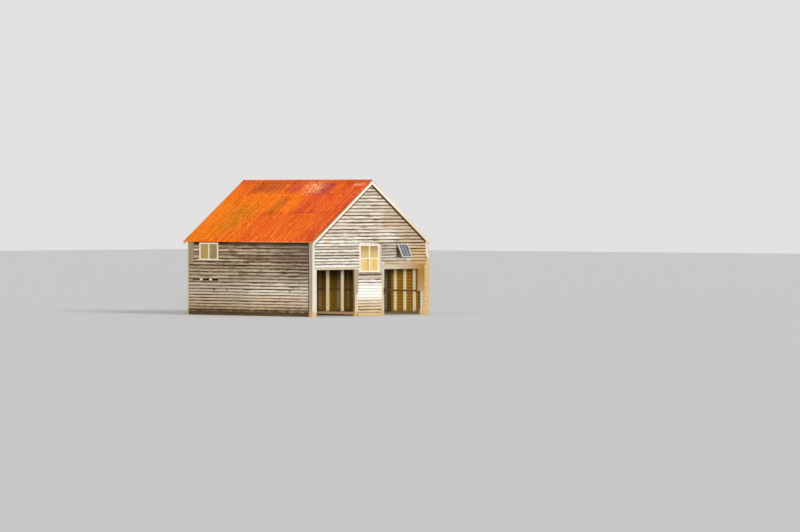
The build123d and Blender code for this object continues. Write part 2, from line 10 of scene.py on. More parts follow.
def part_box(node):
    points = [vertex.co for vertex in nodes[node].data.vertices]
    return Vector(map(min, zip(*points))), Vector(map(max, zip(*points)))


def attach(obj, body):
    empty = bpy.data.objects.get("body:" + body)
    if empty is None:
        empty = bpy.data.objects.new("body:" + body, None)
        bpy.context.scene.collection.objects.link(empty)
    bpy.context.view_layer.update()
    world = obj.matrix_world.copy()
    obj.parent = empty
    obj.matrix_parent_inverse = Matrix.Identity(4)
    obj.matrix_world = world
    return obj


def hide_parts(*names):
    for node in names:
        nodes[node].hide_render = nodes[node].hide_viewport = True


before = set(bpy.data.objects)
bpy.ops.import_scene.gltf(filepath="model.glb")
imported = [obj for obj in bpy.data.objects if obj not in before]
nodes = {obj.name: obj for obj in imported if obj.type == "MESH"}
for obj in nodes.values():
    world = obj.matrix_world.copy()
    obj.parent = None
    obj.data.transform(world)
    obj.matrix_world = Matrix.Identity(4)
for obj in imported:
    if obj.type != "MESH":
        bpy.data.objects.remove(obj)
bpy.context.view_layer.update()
chance = random.Random(41)  # every random choice comes from here, so each run is the same


# Small helpers for modelling
def pickOnly(*objs):
    bpy.ops.object.select_all(action="DESELECT")
    for obj in objs:
        obj.select_set(True)
    bpy.context.view_layer.objects.active = objs[0]


@contextmanager
def editing(obj, kind, test=lambda part: True):  # edit mode, with some parts of the mesh picked
    pickOnly(obj)
    bpy.ops.object.mode_set(mode="EDIT")
    bpy.ops.mesh.select_mode(type=kind)
    bpy.ops.mesh.select_all(action="DESELECT")
    mesh = bmesh.from_edit_mesh(obj.data)
    for part in {"VERT": mesh.verts, "EDGE": mesh.edges, "FACE": mesh.faces}[kind]:
        if test(part):
            part.select_set(True)
    mesh.select_flush_mode()
    bmesh.update_edit_mesh(obj.data)
    yield
    bpy.ops.object.mode_set(mode="OBJECT")


def runsAlong(axis):  # picks the long edges that run along one axis
    return lambda edge: abs(edge.verts[0].co[axis] - edge.verts[1].co[axis]) > 0.5


def drawOut(*way):
    bpy.ops.mesh.extrude_region_move(TRANSFORM_OT_translate={"value": way})


def roughen(offset, seed):
    bpy.ops.transform.vertex_random(offset=offset, uniform=1.0, normal=0.0, seed=seed)


def faceOutwards():
    bpy.ops.mesh.select_all(action="SELECT")
    bpy.ops.mesh.normals_make_consistent(inside=False)


def settle(obj):  # put the object at the origin, with its place in its mesh
    pickOnly(obj)
    bpy.ops.object.transform_apply(location=True, rotation=True, scale=True)


def startFrom(primitive, name, place, scale=(1, 1, 1), **settings):
    bpy.ops.object.select_all(action="DESELECT")
    primitive(location=place, **settings)
    obj = bpy.context.object
    obj.name, obj.scale = name, scale
    settle(obj)
    return obj


def copyAt(source, matrix, tone):  # a copy with its own mesh, placed, with its own tone value
    mesh = source.data.copy()
    mesh.transform(matrix)
    obj = bpy.data.objects.new(source.name, mesh)
    bpy.context.collection.objects.link(obj)
    mesh.attributes.new("tone", "FLOAT", "POINT").data.foreach_set("value", [tone] * len(mesh.vertices))
    return obj


def dress(obj, material):
    slots = obj.data.materials
    for index in range(len(slots)):
        slots[index] = material
    if not slots:
        slots.append(material)


# Join the parts of a piece, slice off what lies beyond its cuts, and give it its finish
def finishPiece(name, parts, material, slot, *replaced, cuts=()):
    pickOnly(*parts)
    bpy.ops.object.join()
    obj = bpy.context.object
    obj.name = name
    settle(obj)
    for point, normal in cuts:
        with editing(obj, "VERT"):
            bpy.ops.mesh.bisect(plane_co=point, plane_no=normal, use_fill=True, clear_outer=True)
    dress(obj, material)
    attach(obj, "root")
    if replaced:
        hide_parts(*replaced)


# Colours and shader nodes
def rgb(*screen):  # a screen colour, 0 to 255, as linear light
    parts = [value / 255 for value in screen]
    return (*(part / 12.92 if part <= 0.04045 else ((part + 0.055) / 1.055) ** 2.4 for part in parts), 1)


def isSocket(value):
    return isinstance(value, bpy.types.NodeSocket)


def addNode(tree, kind, inputs=None, **settings):
    node = tree.nodes.new(kind)
    for key, value in settings.items():
        setattr(node, key, value)
    for key, value in (inputs or {}).items():
        if isSocket(value):
            tree.links.new(value, node.inputs[key])
        else:
            node.inputs[key].default_value = value
    return node


def follow(kind, inputs, **settings):  # a node in the tree of the sockets that feed it
    tree = next(value for value in inputs.values() if isSocket(value)).id_data
    return addNode(tree, kind, inputs, **settings).outputs


def plug(value, target):
    value.id_data.links.new(value, target)


def maths(operation, *values):
    return follow("ShaderNodeMath", dict(enumerate(values)), operation=operation)[0]


def times(first, *others):
    for other in others:
        first = maths("MULTIPLY", first, other)
    return first


def plus(first, second):
    return maths("ADD", first, second)


def minus(first, second):
    return maths("SUBTRACT", first, second)


def centred(value, amount):  # a noise value as a wander to both sides of nothing
    return times(minus(value, 0.5), amount)


def mixColour(factor, first, second):
    return follow("ShaderNodeMix", {0: factor, 6: first, 7: second}, data_type="RGBA")[2]


def layOver(colour, mask, amount, tint):
    return mixColour(times(mask, amount), colour, tint)


def ramp(value, low, high):  # 0 below low, 1 above high
    return follow("ShaderNodeMapRange", {0: value, 1: low, 2: high})[0]


def noise(vector, scale, detail=3.0, roughness=0.55):
    inputs = {"Vector": vector, "Scale": scale, "Detail": detail, "Roughness": roughness}
    return follow("ShaderNodeTexNoise", inputs)[0]


def stretched(vector, scale):
    return follow("ShaderNodeMapping", {"Vector": vector, "Scale": scale})[0]


def axes(vector):
    return follow("ShaderNodeSeparateXYZ", {0: vector})


def newGroup(name, inputs, outputs):
    tree = bpy.data.node_groups.new(name, "ShaderNodeTree")
    for way, labels in (("INPUT", inputs), ("OUTPUT", outputs)):
        for label in labels:
            kind = "NodeSocketVector" if label == "Vector" else "NodeSocketFloat"
            tree.interface.new_socket(name=label, in_out=way, socket_type=kind)
    return tree, tree.nodes.new("NodeGroupInput").outputs, tree.nodes.new("NodeGroupOutput").inputs


def useGroup(group, inputs):
    return follow("ShaderNodeGroup", inputs, node_tree=group)


# Wood fibre: long streaks where the vector is stretched, with a shift for each board's tone
def makeFibreGroup():
    tree, given, out = newGroup("woodFibre", ["Vector", "Tone"], ["Streaks", "Height"])
    inputs = {0: (7.3, 3.1, 5.7), "Scale": times(given["Tone"], 9.0)}
    shift = follow("ShaderNodeVectorMath", inputs, operation="SCALE")[0]
    moved = follow("ShaderNodeVectorMath", {0: given["Vector"], 1: shift})[0]
    fine = noise(moved, 6.0, 5.0, 0.65)
    plug(ramp(fine, 0.32, 0.7), out["Streaks"])
    plug(plus(fine, times(noise(moved, 1.1, 3.0, 0.5), 0.5)), out["Height"])
    return tree


# Damp and slime that the water leaves on the lowest part, with a ragged upper edge
def makeDampGroup():
    tree, given, out = newGroup("dampFoot", ["Vector", "Reach"], ["Damp"])
    ragged = minus(times(noise(given["Vector"], 5.0, 3.0), 0.28), 0.14)
    scaled = maths("DIVIDE", plus(axes(given["Vector"])[2], ragged), given["Reach"])
    plug(minus(1.0, ramp(scaled, 0.45, 1.0)), out["Damp"])
    return tree


# Worn paint: flakes that follow the fibre, more of them where Wear is high
def makeWearGroup():
    tree, given, out = newGroup("wornPaint", ["Vector", "Wear"], ["Bare"])
    limit = minus(0.75, times(given["Wear"], 0.4))
    plug(ramp(minus(noise(given["Vector"], 3.2, 6.0, 0.7), limit), -0.03, 0.06), out["Bare"])
    return tree


patchEdges = ["Left", "Right", "Top", "Bottom", "Soft"]


# A stain that fills one patch of a surface, from two measures over it, with soft edges
def makePatchGroup():
    tree, given, out = newGroup("stainPatch", ["Across", "Down", *patchEdges], ["Mask"])
    left, right, top, bottom, soft = [given[label] for label in patchEdges]
    masks = []
    for measure, start, end in ((given["Across"], left, right), (given["Down"], top, bottom)):
        masks.append(ramp(measure, minus(start, soft), plus(start, soft)))
        masks.append(ramp(measure, plus(end, soft), minus(end, soft)))
    plug(times(*masks), out["Mask"])
    return tree


fibreGroup = makeFibreGroup()
dampGroup = makeDampGroup()
wearGroup = makeWearGroup()
patchGroup = makePatchGroup()


def patchMask(across, down, limits):
    return useGroup(patchGroup, {"Across": across, "Down": down, **dict(zip(patchEdges, limits))})["Mask"]


# Stains laid one over another; each is (left, right, top, bottom, softness, colour, amount)
def addPatches(colour, across, down, patches):
    for *limits, tint, amount in patches:
        colour = layOver(colour, patchMask(across, down, limits), amount, tint)
    return colour


# Light and dark traces of one noise; each is (starts, full, amount, colour)
def addTraces(colour, value, traces):
    for low, high, amount, tint in traces:
        colour = layOver(colour, ramp(value, low, high), amount, tint)
    return colour


iron = {
    "pitch": 0.0759, "depth": 0.0155, "thick": 0.0012, "steps": 8, "waves": 8, "lap": 0.15, "seat": 0.018,
    "courses": (0.0, 0.215, 0.53, 1.0), "columns": 12, "rise": 0.0014, "wander": 0.006,
    "underCap": 0.026, "sink": 0.0002, "red": 0.72, "redFalls": 0.5, "smooth": 50,
}


# The roof as it stands, read from the pieces that it is made of
def readRoof():
    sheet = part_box("left_roof_sheet")
    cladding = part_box("back_wall_cladding")
    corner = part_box("back_left_corner_board")
    slope = math.atan2(cladding[1][2] - corner[1][2], -corner[1][0])
    half = -sheet[0][0]
    return {
        "half": half, "front": sheet[0][1], "back": sheet[1][1], "eave": sheet[0][2],
        "apex": sheet[0][2] + iron["seat"] * math.cos(slope) + half * math.tan(slope),
        "boardTop": cladding[1][2], "rise": math.sin(slope), "run": math.cos(slope),
    }


roof = readRoof()


# How far a point lies under the crests of the roof iron, measured square to the slope
def depthUnderRoof(place):
    parts = axes(place)
    drop = times(minus(roof["apex"], parts[2]), roof["run"])
    return minus(drop, times(maths("ABSOLUTE", parts[0]), roof["rise"])), parts


# Materials
def readPlace(shader, source):
    return addNode(shader.id_data, "ShaderNodeTexCoord").outputs[source]


def attributeValue(shader, name):
    return addNode(shader.id_data, "ShaderNodeAttribute", attribute_name=name).outputs["Fac"]


def newMaterial(name, roughness=0.85):
    material = bpy.data.materials.new(name)
    material.use_nodes = True
    shader = material.node_tree.nodes["Principled BSDF"]
    shader.inputs["Roughness"].default_value = roughness
    shader.inputs["Specular IOR Level"].default_value = 0.25
    return material, shader, readPlace(shader, "Object")


def addBump(shader, height, distance, strength=0.6):
    inputs = {"Height": height, "Distance": distance, "Strength": strength}
    plug(follow("ShaderNodeBump", inputs)[0], shader.inputs["Normal"])


# Which way the fibre of a piece runs: the noise is stretched along it
grain = {"alongX": (1.2, 34, 34), "alongY": (34, 1.2, 34), "upright": (34, 34, 1.2), "slope": (3, 30, 3)}
runScale = {"alongX": (1.0, 9, 9), "alongY": (9, 1.0, 9)}  # longer runs of peeled or faded wood
wet = {"amount": 0.85, "gloss": 0.35}  # how much damp shows, and how much less rough it makes the wood


def woodFibre(place, way, tone=None):
    vector = stretched(place, grain[way])
    tone = noise(place, 0.9, 1.0) if tone is None else tone
    return vector, useGroup(fibreGroup, {"Vector": vector, "Tone": tone})


def fibreColour(fibre, look):
    return mixColour(fibre["Streaks"], look["dark"], look["light"])


def wornColour(colour, vector, look):
    bare = useGroup(wearGroup, {"Vector": vector, "Wear": look["wear"]})["Bare"]
    return layOver(colour, bare, look["bareAmount"], look["bare"])


def dampColour(colour, place, look):
    damp = useGroup(dampGroup, {"Vector": place, "Reach": look["dampReach"]})["Damp"]
    return layOver(colour, damp, look.get("dampAmount", wet["amount"]), look["damp"]), damp


def wetRoughness(dry, damp):
    return minus(dry, times(damp, wet["gloss"]))


# bare wood inside the building; shade is painted shade for the back wall, and the patches are painted shade
# where little light reaches: a dark strip, the far end and the top
insideLook = {
    "dark": rgb(156, 108, 22), "light": rgb(214, 160, 46), "seam": rgb(84, 54, 20),
    "seamAmount": 0.5, "seamFades": (0.6, -0.6), "shade": rgb(58, 34, 16),
    "paintedShades": [
        (-1.42, 0.6, -1.0, 4.0, 0.05, rgb(52, 36, 22), 0.8),
        (0.6, 9.0, -1.0, 4.0, 0.2, rgb(122, 82, 0), 0.5),
        (0.6, 9.0, 1.45, 4.0, 0.15, rgb(60, 36, 8), 0.6),
        (-9.0, -1.42, 1.6, 4.0, 0.12, rgb(116, 78, 8), 0.5),
    ],
}
# runs and peeled are worn wood; butt and buttShade are the painted shade at each board's lower edge;
# eaveWander is the ragged edge of the painted shadow under the roof
boardWearAndShade = {
    "runs": (1.6, 4.0, 0.6), "peeled": (0.5, 0.62), "butt": (0.05, 0.0), "buttShade": 0.7,
    "unevenStep": 7.31, "eaveWander": 0.1, "roughness": 0.9, "bump": 0.004,
}


# Lapped boards: tone changes from board to board, dirt with painted shade under each lap, painted
# shadow under the roof's edge, damp at the foot, and bare brown wood on the face inside the building,
# with painted shade deeper in
def boardMaterial(name, way, look):
    material, shader, place = newMaterial(name)
    tone, across, inner = [attributeValue(shader, label) for label in ("tone", "across", "inner")]
    vector, fibre = woodFibre(place, way, tone)
    colour = fibreColour(fibre, look)
    for end, tint in ((1.0, "pale"), (0.0, "deep")):
        colour = layOver(colour, ramp(tone, 0.5, end), look["toneSpread"], look[tint])
    runs = noise(stretched(place, runScale[way]), *boardWearAndShade["runs"])
    colour = layOver(colour, ramp(runs, *boardWearAndShade["peeled"]), look["runAmount"], look["patch"])
    colour = wornColour(colour, vector, look)
    under, parts = depthUnderRoof(place)
    bleach = times(ramp(parts[2], *look["bleachFrom"]), ramp(parts[2], *look["bleachTo"]))
    bleach = times(bleach, look["bleachAmount"])
    colour = mixColour(bleach, colour, look["bleach"])
    # painted shade with dirt under each lap, and painted shade at each board's lower edge, stronger on some
    # boards than on others
    lap = ramp(plus(across, centred(runs, look["lapRagged"])), *look["lap"])
    butt = times(ramp(across, *boardWearAndShade["butt"]), boardWearAndShade["buttShade"])
    uneven = times(maths("FRACT", times(tone, boardWearAndShade["unevenStep"])), look["lapUneven"])
    uneven = plus(1.0 - look["lapUneven"], uneven)
    kept = minus(1.0, times(bleach, look["bleachOver"]))
    shade = times(maths("MAXIMUM", lap, butt), look["lapShade"], uneven, kept)
    wobble = centred(runs, look["patchWander"])
    onWall = plus(parts[look["patchAxis"]], wobble), plus(parts[2], times(wobble, 0.5))
    colour = addPatches(colour, *onWall, look["patches"])
    colour = mixColour(shade, colour, look["lapDirtAndShade"])
    colour = addPatches(colour, *onWall, look["shadows"])
    # painted shadow, with some grime, under the roof's edge and the barge boards on each side of the gable
    near = plus(under, centred(runs, boardWearAndShade["eaveWander"]))
    for side, reach, soft, amount in look["underRoof"]:
        dark = times(ramp(near, reach + soft, reach - soft), ramp(parts[0], -0.01 * side, 0.01 * side))
        colour = layOver(colour, dark, amount, look["grimeAndShade"])
    colour, damp = dampColour(colour, place, look)
    # the inside face, with painted shade where little light reaches and on the back wall
    inside = fibreColour(fibre, insideLook)
    seams = times(lap, ramp(parts[1], *insideLook["seamFades"]))
    inside = layOver(inside, seams, insideLook["seamAmount"], insideLook["seam"])
    inside = addPatches(inside, *parts[1:], insideLook["paintedShades"])
    inside = mixColour(look["insideShade"], inside, insideLook["shade"])
    plug(mixColour(inner, colour, inside), shader.inputs["Base Color"])
    plug(wetRoughness(boardWearAndShade["roughness"], damp), shader.inputs["Roughness"])
    addBump(shader, fibre["Height"], boardWearAndShade["bump"])
    return material


timberWear = {"roughness": 0.88, "bump": 0.003}


# Square timber and plain boards, painted or bare, with painted shade placed by their distance from the
# front and their height. A second look is (look, "Object" or "Normal", axis, edge): it takes over
# past an edge in the place, or in the way that a face looks.
def timberMaterial(name, way, look, paintedShades=(), second=None):
    material, shader, place = newMaterial(name)
    vector, fibre = woodFibre(place, way)
    colour = fibreColour(fibre, look)
    if second:
        other, source, axis, edge = second
        reach = axes(readPlace(shader, source))[axis]
        colour = mixColour(ramp(reach, *edge), colour, fibreColour(fibre, other))
    colour = wornColour(colour, vector, look)
    colour = addPatches(colour, *axes(place)[1:], paintedShades)
    colour, damp = dampColour(colour, place, look)
    plug(colour, shader.inputs["Base Color"])
    if not second:
        plug(wetRoughness(timberWear["roughness"], damp), shader.inputs["Roughness"])
    addBump(shader, fibre["Height"], timberWear["bump"])
    return material


# Red oxide paint on corrugated iron: each sheet has its own red, with stains and rust
rustDark, fadedBright = rgb(146, 52, 14), rgb(255, 150, 50)
roofLook = {
    "orange": rgb(244, 120, 0), "red": rgb(232, 84, 28), "lichen": rgb(248, 214, 172), "lichenAmount": 0.85,
    "roughness": 0.6, "specular": 0.1, "bump": (0.0015, 0.4), "otherSlope": 9.0,
    "wander": 0.09, "wanderNoise": (2.2, 6.0, 0.7), "sway": 0.14, "swayNoise": (1.7, 5.0, 0.7),
    "streaks": [(0.5, 0.66, 0.5, rustDark), (0.47, 0.34, 0.6, fadedBright)],
    "flecks": [(0.54, 0.66, 0.85, rustDark), (0.44, 0.3, 0.85, fadedBright)],
}
# Stains on the slope that shows, by share of its length from the front and from the ridge down
roofStains = [
    (-1.0, 0.16, -1.0, 2.0, 0.04, rgb(224, 76, 44), 0.5),
    (0.64, 0.86, 0.03, 0.2, 0.035, rgb(164, 70, 34), 0.75),
    (0.49, 0.6, 0.03, 0.2, 0.025, rgb(196, 70, 58), 0.7),
    (0.235, 0.355, 0.04, 0.22, 0.025, rgb(176, 56, 66), 0.8),
    (0.03, 0.1, 0.045, 0.085, 0.012, rgb(255, 176, 138), 0.7),
    (0.235, 0.37, 0.2, 0.53, 0.03, rgb(214, 70, 46), 0.6),
    (0.4, 0.63, 0.2, 0.5, 0.04, rgb(255, 124, 18), 0.6),
    (0.5, 0.565, 0.27, 0.6, 0.035, rgb(186, 100, 12), 0.75),
    (0.69, 0.85, 0.42, 0.86, 0.07, rgb(200, 118, 0), 0.85),
    (0.8, 1.2, 0.3, 1.2, 0.08, rgb(250, 140, 0), 0.45),
    (-1.0, 0.06, 0.8, 2.0, 0.05, rgb(156, 48, 26), 0.45),
]
roofSeams = [
    (0.12, 0.36, 0.517, 0.528, 0.004, rgb(104, 36, 22), 0.7),
    (0.36, 0.95, 0.517, 0.528, 0.004, rgb(150, 70, 10), 0.4),
    (-0.1, 1.1, 0.212, 0.22, 0.003, rgb(130, 48, 24), 0.35),
    (-0.1, 0.007, -1.0, 2.0, 0.003, rgb(104, 52, 34), 0.75),
    (-0.1, 0.018, 0.4, 2.0, 0.007, rgb(128, 44, 24), 0.6),
    (-0.1, 0.55, 0.984, 1.2, 0.005, rgb(255, 176, 130), 0.55),
]
lichenPatch = (0.33, 0.46, 0.03, 0.2, 0.04)


def roofMaterial(name, fixedTone=None):
    material, shader, place = newMaterial(name, roofLook["roughness"])
    tone = attributeValue(shader, "tone") if fixedTone is None else fixedTone
    paint = {0: tone, 6: roofLook["orange"], 7: roofLook["red"]}
    colour = addNode(shader.id_data, "ShaderNodeMix", paint, data_type="RGBA").outputs[2]
    parts = axes(place)
    alongRoof = ramp(parts[1], roof["front"], roof["back"])
    downRoof = ramp(parts[2], roof["apex"], roof["eave"])
    along = plus(alongRoof, centred(noise(place, *roofLook["wanderNoise"]), roofLook["wander"]))
    along = plus(along, times(ramp(parts[0], -0.02, 0.02), roofLook["otherSlope"]))  # no stains there
    down = plus(downRoof, centred(noise(place, *roofLook["swayNoise"]), roofLook["sway"]))
    colour = addPatches(colour, along, down, roofStains)
    colour = addPatches(colour, alongRoof, downRoof, roofSeams)
    streaks = noise(stretched(place, (0.8, 16.0, 0.8)), 1.3, 5.0, 0.65)
    colour = addTraces(colour, streaks, roofLook["streaks"])
    spots = ramp(noise(stretched(place, (0.6, 1.0, 0.6)), 14.0, 4.0, 0.7), 0.5, 0.57)
    spots = times(spots, patchMask(along, down, lichenPatch))
    colour = layOver(colour, spots, roofLook["lichenAmount"], roofLook["lichen"])
    flecks = noise(stretched(place, (0.7, 1.6, 0.7)), 13.0, 4.0, 0.7)
    plug(addTraces(colour, flecks, roofLook["flecks"]), shader.inputs["Base Color"])
    shader.inputs["Specular IOR Level"].default_value = roofLook["specular"]
    plug(ramp(streaks, -0.4, 1.3), shader.inputs["Roughness"])
    addBump(shader, noise(place, 60.0, 3.0), *roofLook["bump"])
    return material


# Cream paint of the windows and barge boards
creamLook = {
    "dark": rgb(232, 218, 192), "light": rgb(252, 246, 232), "wear": 0.32, "bare": rgb(186, 160, 128),
    "bareAmount": 0.65, "damp": rgb(200, 160, 90), "dampReach": 0.1,
}
# Barge boards are stained along the upper edge and greyer down the right slope
bargeLook = {
    **creamLook, "rust": rgb(178, 128, 92), "grey": rgb(204, 174, 132), "greyFrom": (0.9, 2.3),
    "greyAmount": 0.5, "leftStain": 0.046, "rightStain": 0.028, "ragged": 0.03, "rustSoft": 0.006,
    "rustAmount": 0.85,
}


def bargeMaterial(name, look):
    material, shader, place = newMaterial(name)
    vector, fibre = woodFibre(place, "slope")
    colour = wornColour(fibreColour(fibre, look), vector, look)
    under, parts = depthUnderRoof(place)
    colour = layOver(colour, ramp(parts[0], *look["greyFrom"]), look["greyAmount"], look["grey"])
    left = times(ramp(parts[0], 0.0, -0.1), look["leftStain"])
    right = times(ramp(parts[0], 1.4, 0.2), look["rightStain"])
    edge = plus(under, centred(noise(place, 7.0, 3.0), look["ragged"]))
    rusty = ramp(minus(edge, maths("MAXIMUM", left, right)), look["rustSoft"], -look["rustSoft"])
    plug(layOver(colour, rusty, look["rustAmount"], look["rust"]), shader.inputs["Base Color"])
    addBump(shader, fibre["Height"], timberWear["bump"])
    return material


def plainMaterial(name, low, high, scale, roughness, metallic=0.0):
    material, shader, place = newMaterial(name, roughness)
    cloud = noise(place, scale, 4.0, 0.6)
    plug(mixColour(ramp(cloud, 0.35, 0.65), low, high), shader.inputs["Base Color"])
    shader.inputs["Metallic"].default_value = metallic
    addBump(shader, cloud, 0.0006)
    return material


# Old window glass, its colour a painted reflection: golden where it mirrors the far bank, with painted
# reflected tints placed over the panes
def glassMaterial(name, look):
    material, shader, place = newMaterial(name, 0.12)
    bands = noise(stretched(place, look["streaks"]), 1.0, 3.0, 0.55)
    colour = mixColour(ramp(bands, 0.3, 0.7), look["low"], look["high"])
    parts = axes(place)
    across = plus(parts[look["axis"]], centred(bands, look["wander"]))
    plug(addPatches(colour, across, parts[2], look["reflectedTints"]), shader.inputs["Base Color"])
    shader.inputs["Specular IOR Level"].default_value = 0.6
    addBump(shader, noise(place, 3.0, 1.0), 0.004, 0.25)
    return material


nailIron = plainMaterial("rustyNails", rgb(72, 44, 28), rgb(116, 72, 44), 60.0, 0.7, 0.5)
print("node groups and shared materials ready")


# Weatherboards
boards = {
    "lap": 0.030, "edge": 0.0025, "variants": 6, "wander": 0.0025, "height": 0.150, "longest": 3.6,
    "topCut": 0.64, "backCut": 0.5, "tilt": 0.1, "lift": 0.004, "joint": 0.003, "lowest": 0.02,
    "narrowest": 0.03, "strip": 0.025, "spare": 1.25, "shortest": 0.55, "cuts": 7, "seed": 3,
    "lip": 0.95, "end": 0.02,
}
frontCourses = {"start": -0.1002, "low": 0.1222, "high": 0.139, "change": 2.94}
sideCourses = {"start": -0.1188, "low": 0.1208, "high": 0.1376, "change": 1.08}
waterPlane = ((0, 0, 0.0004), (0, 0, -1))  # boards end at the water level
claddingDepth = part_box("front_gable_cladding")[1][1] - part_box("front_gable_cladding")[0][1]
studs = {"width": 0.075, "sidePitch": 0.535, "gablePitch": 0.56}
nails = {"up": 0.26, "radius": 0.0045, "proud": 0.0012, "margin": 0.03, "sides": 7, "sink": 0.002}
nailSpots = []


# A lapped board one metre long, its inner face on y = 0 and its outer face towards -y
def makePlank(number):
    deep, high = claddingDepth, boards["height"]
    middle, front, end = high / 2, -deep / 2, boards["end"]
    plank = startFrom(bpy.ops.mesh.primitive_cube_add, "plank", (0.5, front, middle), (1, deep, high),
                      size=1)
    with editing(plank, "EDGE", runsAlong(0)):
        bpy.ops.mesh.subdivide(number_cuts=boards["cuts"])
    with editing(plank, "VERT", lambda vert: vert.co.z > middle and vert.co.y < front):
        bpy.ops.transform.translate(value=(0, deep * boards["topCut"], 0))
    with editing(plank, "VERT", lambda vert: vert.co.z < middle and vert.co.y > front):
        bpy.ops.transform.translate(value=(0, -deep * boards["backCut"], 0))
    lip = -deep * boards["lip"]
    with editing(plank, "EDGE", lambda edge: all(v.co.z < middle and v.co.y < lip for v in edge.verts)):
        bpy.ops.mesh.bevel(offset=boards["edge"], segments=1, affect="EDGES")
    with editing(plank, "VERT", lambda vert: end < vert.co.x < 1 - end and vert.co.z < middle):
        roughen(boards["wander"], number + boards["seed"])
    across = [min(1.0, max(0.0, vert.co.z / high)) for vert in plank.data.vertices]
    inner = []
    for vert, value in zip(plank.data.vertices, across):
        outside = -deep * (1 - boards["topCut"] * value)
        inside = -deep * boards["backCut"] * (1 - value)
        inner.append(1.0 if abs(vert.co.y - inside) < abs(vert.co.y - outside) else 0.0)
    for label, values in (("across", across), ("inner", inner)):
        plank.data.attributes.new(label, "FLOAT", "POINT").data.foreach_set("value", values)
    return plank


planks = [makePlank(number) for number in range(boards["variants"])]


def layBoard(wall, span, tone, tilt=0.0):
    size = Matrix.Diagonal((span[1] - span[0], 1, (span[3] - span[2]) / boards["height"], 1))
    lean = Matrix.Rotation(math.radians(tilt), 4, "Y")
    corner = Matrix.Translation((span[0], 0, span[2]))
    return copyAt(chance.choice(planks), wall @ corner @ lean @ size, tone)


# Where the studs of a piece stand, read from the piece itself
def studCentres(name, axis, pitch):
    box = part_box(name)
    first = box[0][axis] + studs["width"] / 2
    last = box[1][axis] - studs["width"] / 2
    count = round((last - first) / pitch)
    return [first + (last - first) * index / count for index in range(count + 1)]


# The gable's studs start from both corners and stop at the pair beside the window
def frontStudCentres():
    pier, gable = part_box("pier_studs"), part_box("front_gable_studs")
    found = studCentres("pier_studs", 0, (pier[1][0] - pier[0][0]) / 2)
    kings = (found[0], found[-1])
    left, right = gable[0][0] + studs["width"] / 2, gable[1][0] - studs["width"] / 2
    while left < kings[0]:
        found.append(left)
        left += studs["gablePitch"]
    while right > kings[1]:
        found.append(right)
        right -= studs["gablePitch"]
    return found


# Cut a run into lengths whose ends meet on a stud, as boards come
def lengths(start, end, centres):
    found = []
    while end - start > boards["longest"] * boards["spare"]:
        aim = start + chance.uniform(boards["shortest"], 1.0) * boards["longest"]
        meet = min(centres, key=lambda centre: abs(centre - aim))
        found.append((start, meet - boards["joint"]))
        start = meet
    return [*found, (start, end)]


def slopePlane(side):  # the underside of the battens, where the cladding ends
    return (0, 0, roof["boardTop"]), (side * roof["rise"], 0, roof["run"])


def underRoof(point):
    return (roof["boardTop"] - point.z) * roof["run"] - abs(point.x) * roof["rise"] > nails["margin"]


# Nails go through each board at the studs, a little above its lower edge
def noteNails(wall, span, centres, gable):
    up = span[2] + nails["up"] * (span[3] - span[2])
    out = -claddingDepth * (1 - boards["topCut"] * nails["up"])
    for centre in centres:
        spot = wall @ Matrix.Translation((centre, out, up))
        inside = span[0] + nails["margin"] < centre < span[1] - nails["margin"]
        if inside and (not gable or underRoof(spot.translation)):
            nailSpots.append(spot)


def cutSpan(span, hole):
    if hole[1] <= span[0] or hole[0] >= span[1] or hole[3] <= span[2] or hole[2] >= span[3]:
        return [span]
    parts = []
    if hole[0] > span[0]:
        parts.append((span[0], hole[0], *span[2:]))
    if hole[1] < span[1]:
        parts.append((hole[1], *span[1:]))
    inner = (max(span[0], hole[0]), min(span[1], hole[1]))
    if hole[2] - span[2] > boards["strip"]:
        parts.append((*inner, span[2], hole[2]))
    if span[3] - hole[3] > boards["strip"]:
        parts.append((*inner, hole[3], span[3]))
    return parts


# By a wall's turn: the corner of its box where it starts (0 low, 1 high, in x and in y), the axis
# that it runs along, and which way
wallRuns = {0: (0, 1, 0, 1), 90: (0, 0, 1, 1), -90: (1, 1, 1, -1), 180: (1, 0, 0, -1)}


# Lay all courses of a wall round its holes, each (from, to, bottom, top), with joints and nails on
# its studs, and trim a gable's boards to the roof
def buildWall(name, node, turn, courses, material, slot, holes=(), centres=(), bottom=0.0, endWander=0.0,
              gable=False, plain=None):
    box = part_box(node)
    endX, endY, axis, sign = wallRuns[turn]
    start = (box[endX][0], box[endY][1], 0)
    wall = Matrix.Translation(start) @ Matrix.Rotation(math.radians(turn), 4, "Z")
    length, top = box[1][axis] - box[0][axis], box[1][2]
    centres = [sign * (centre - start[axis]) for centre in centres]
    holes = [(*sorted(sign * (end - start[axis]) for end in hole[:2]), *hole[2:]) for hole in holes]
    rows = []
    low = courses["start"]
    while low < top - boards["lowest"]:
        exposure = courses["low"] if low < courses["change"] else courses["high"]
        high = min(low + exposure + boards["lap"], top)
        foot = max(low, bottom)
        low += exposure
        if high - foot < boards["narrowest"]:
            continue
        foot += chance.uniform(0, boards["lift"]) if foot > 0 else 0
        for piece in lengths(chance.uniform(0, endWander), length, centres):
            tone = chance.random()
            tilt = chance.uniform(-boards["tilt"], boards["tilt"])
            spans = [(*piece, foot, high)]
            for hole in holes:
                spans = [part for span in spans for part in cutSpan(span, hole)]
            for span in spans:
                rows.append(layBoard(wall, span, tone, tilt if foot > 0 else 0))
                noteNails(wall, span, centres, gable)
    if plain:
        rows.append(layBoard(wall, (0, length, plain["bottom"], plain["top"]), plain["tone"]))
    cuts = [slopePlane(-1), slopePlane(1)] if gable else []
    finishPiece(name, rows, material, slot, node, cuts=[*cuts, waterPlane])
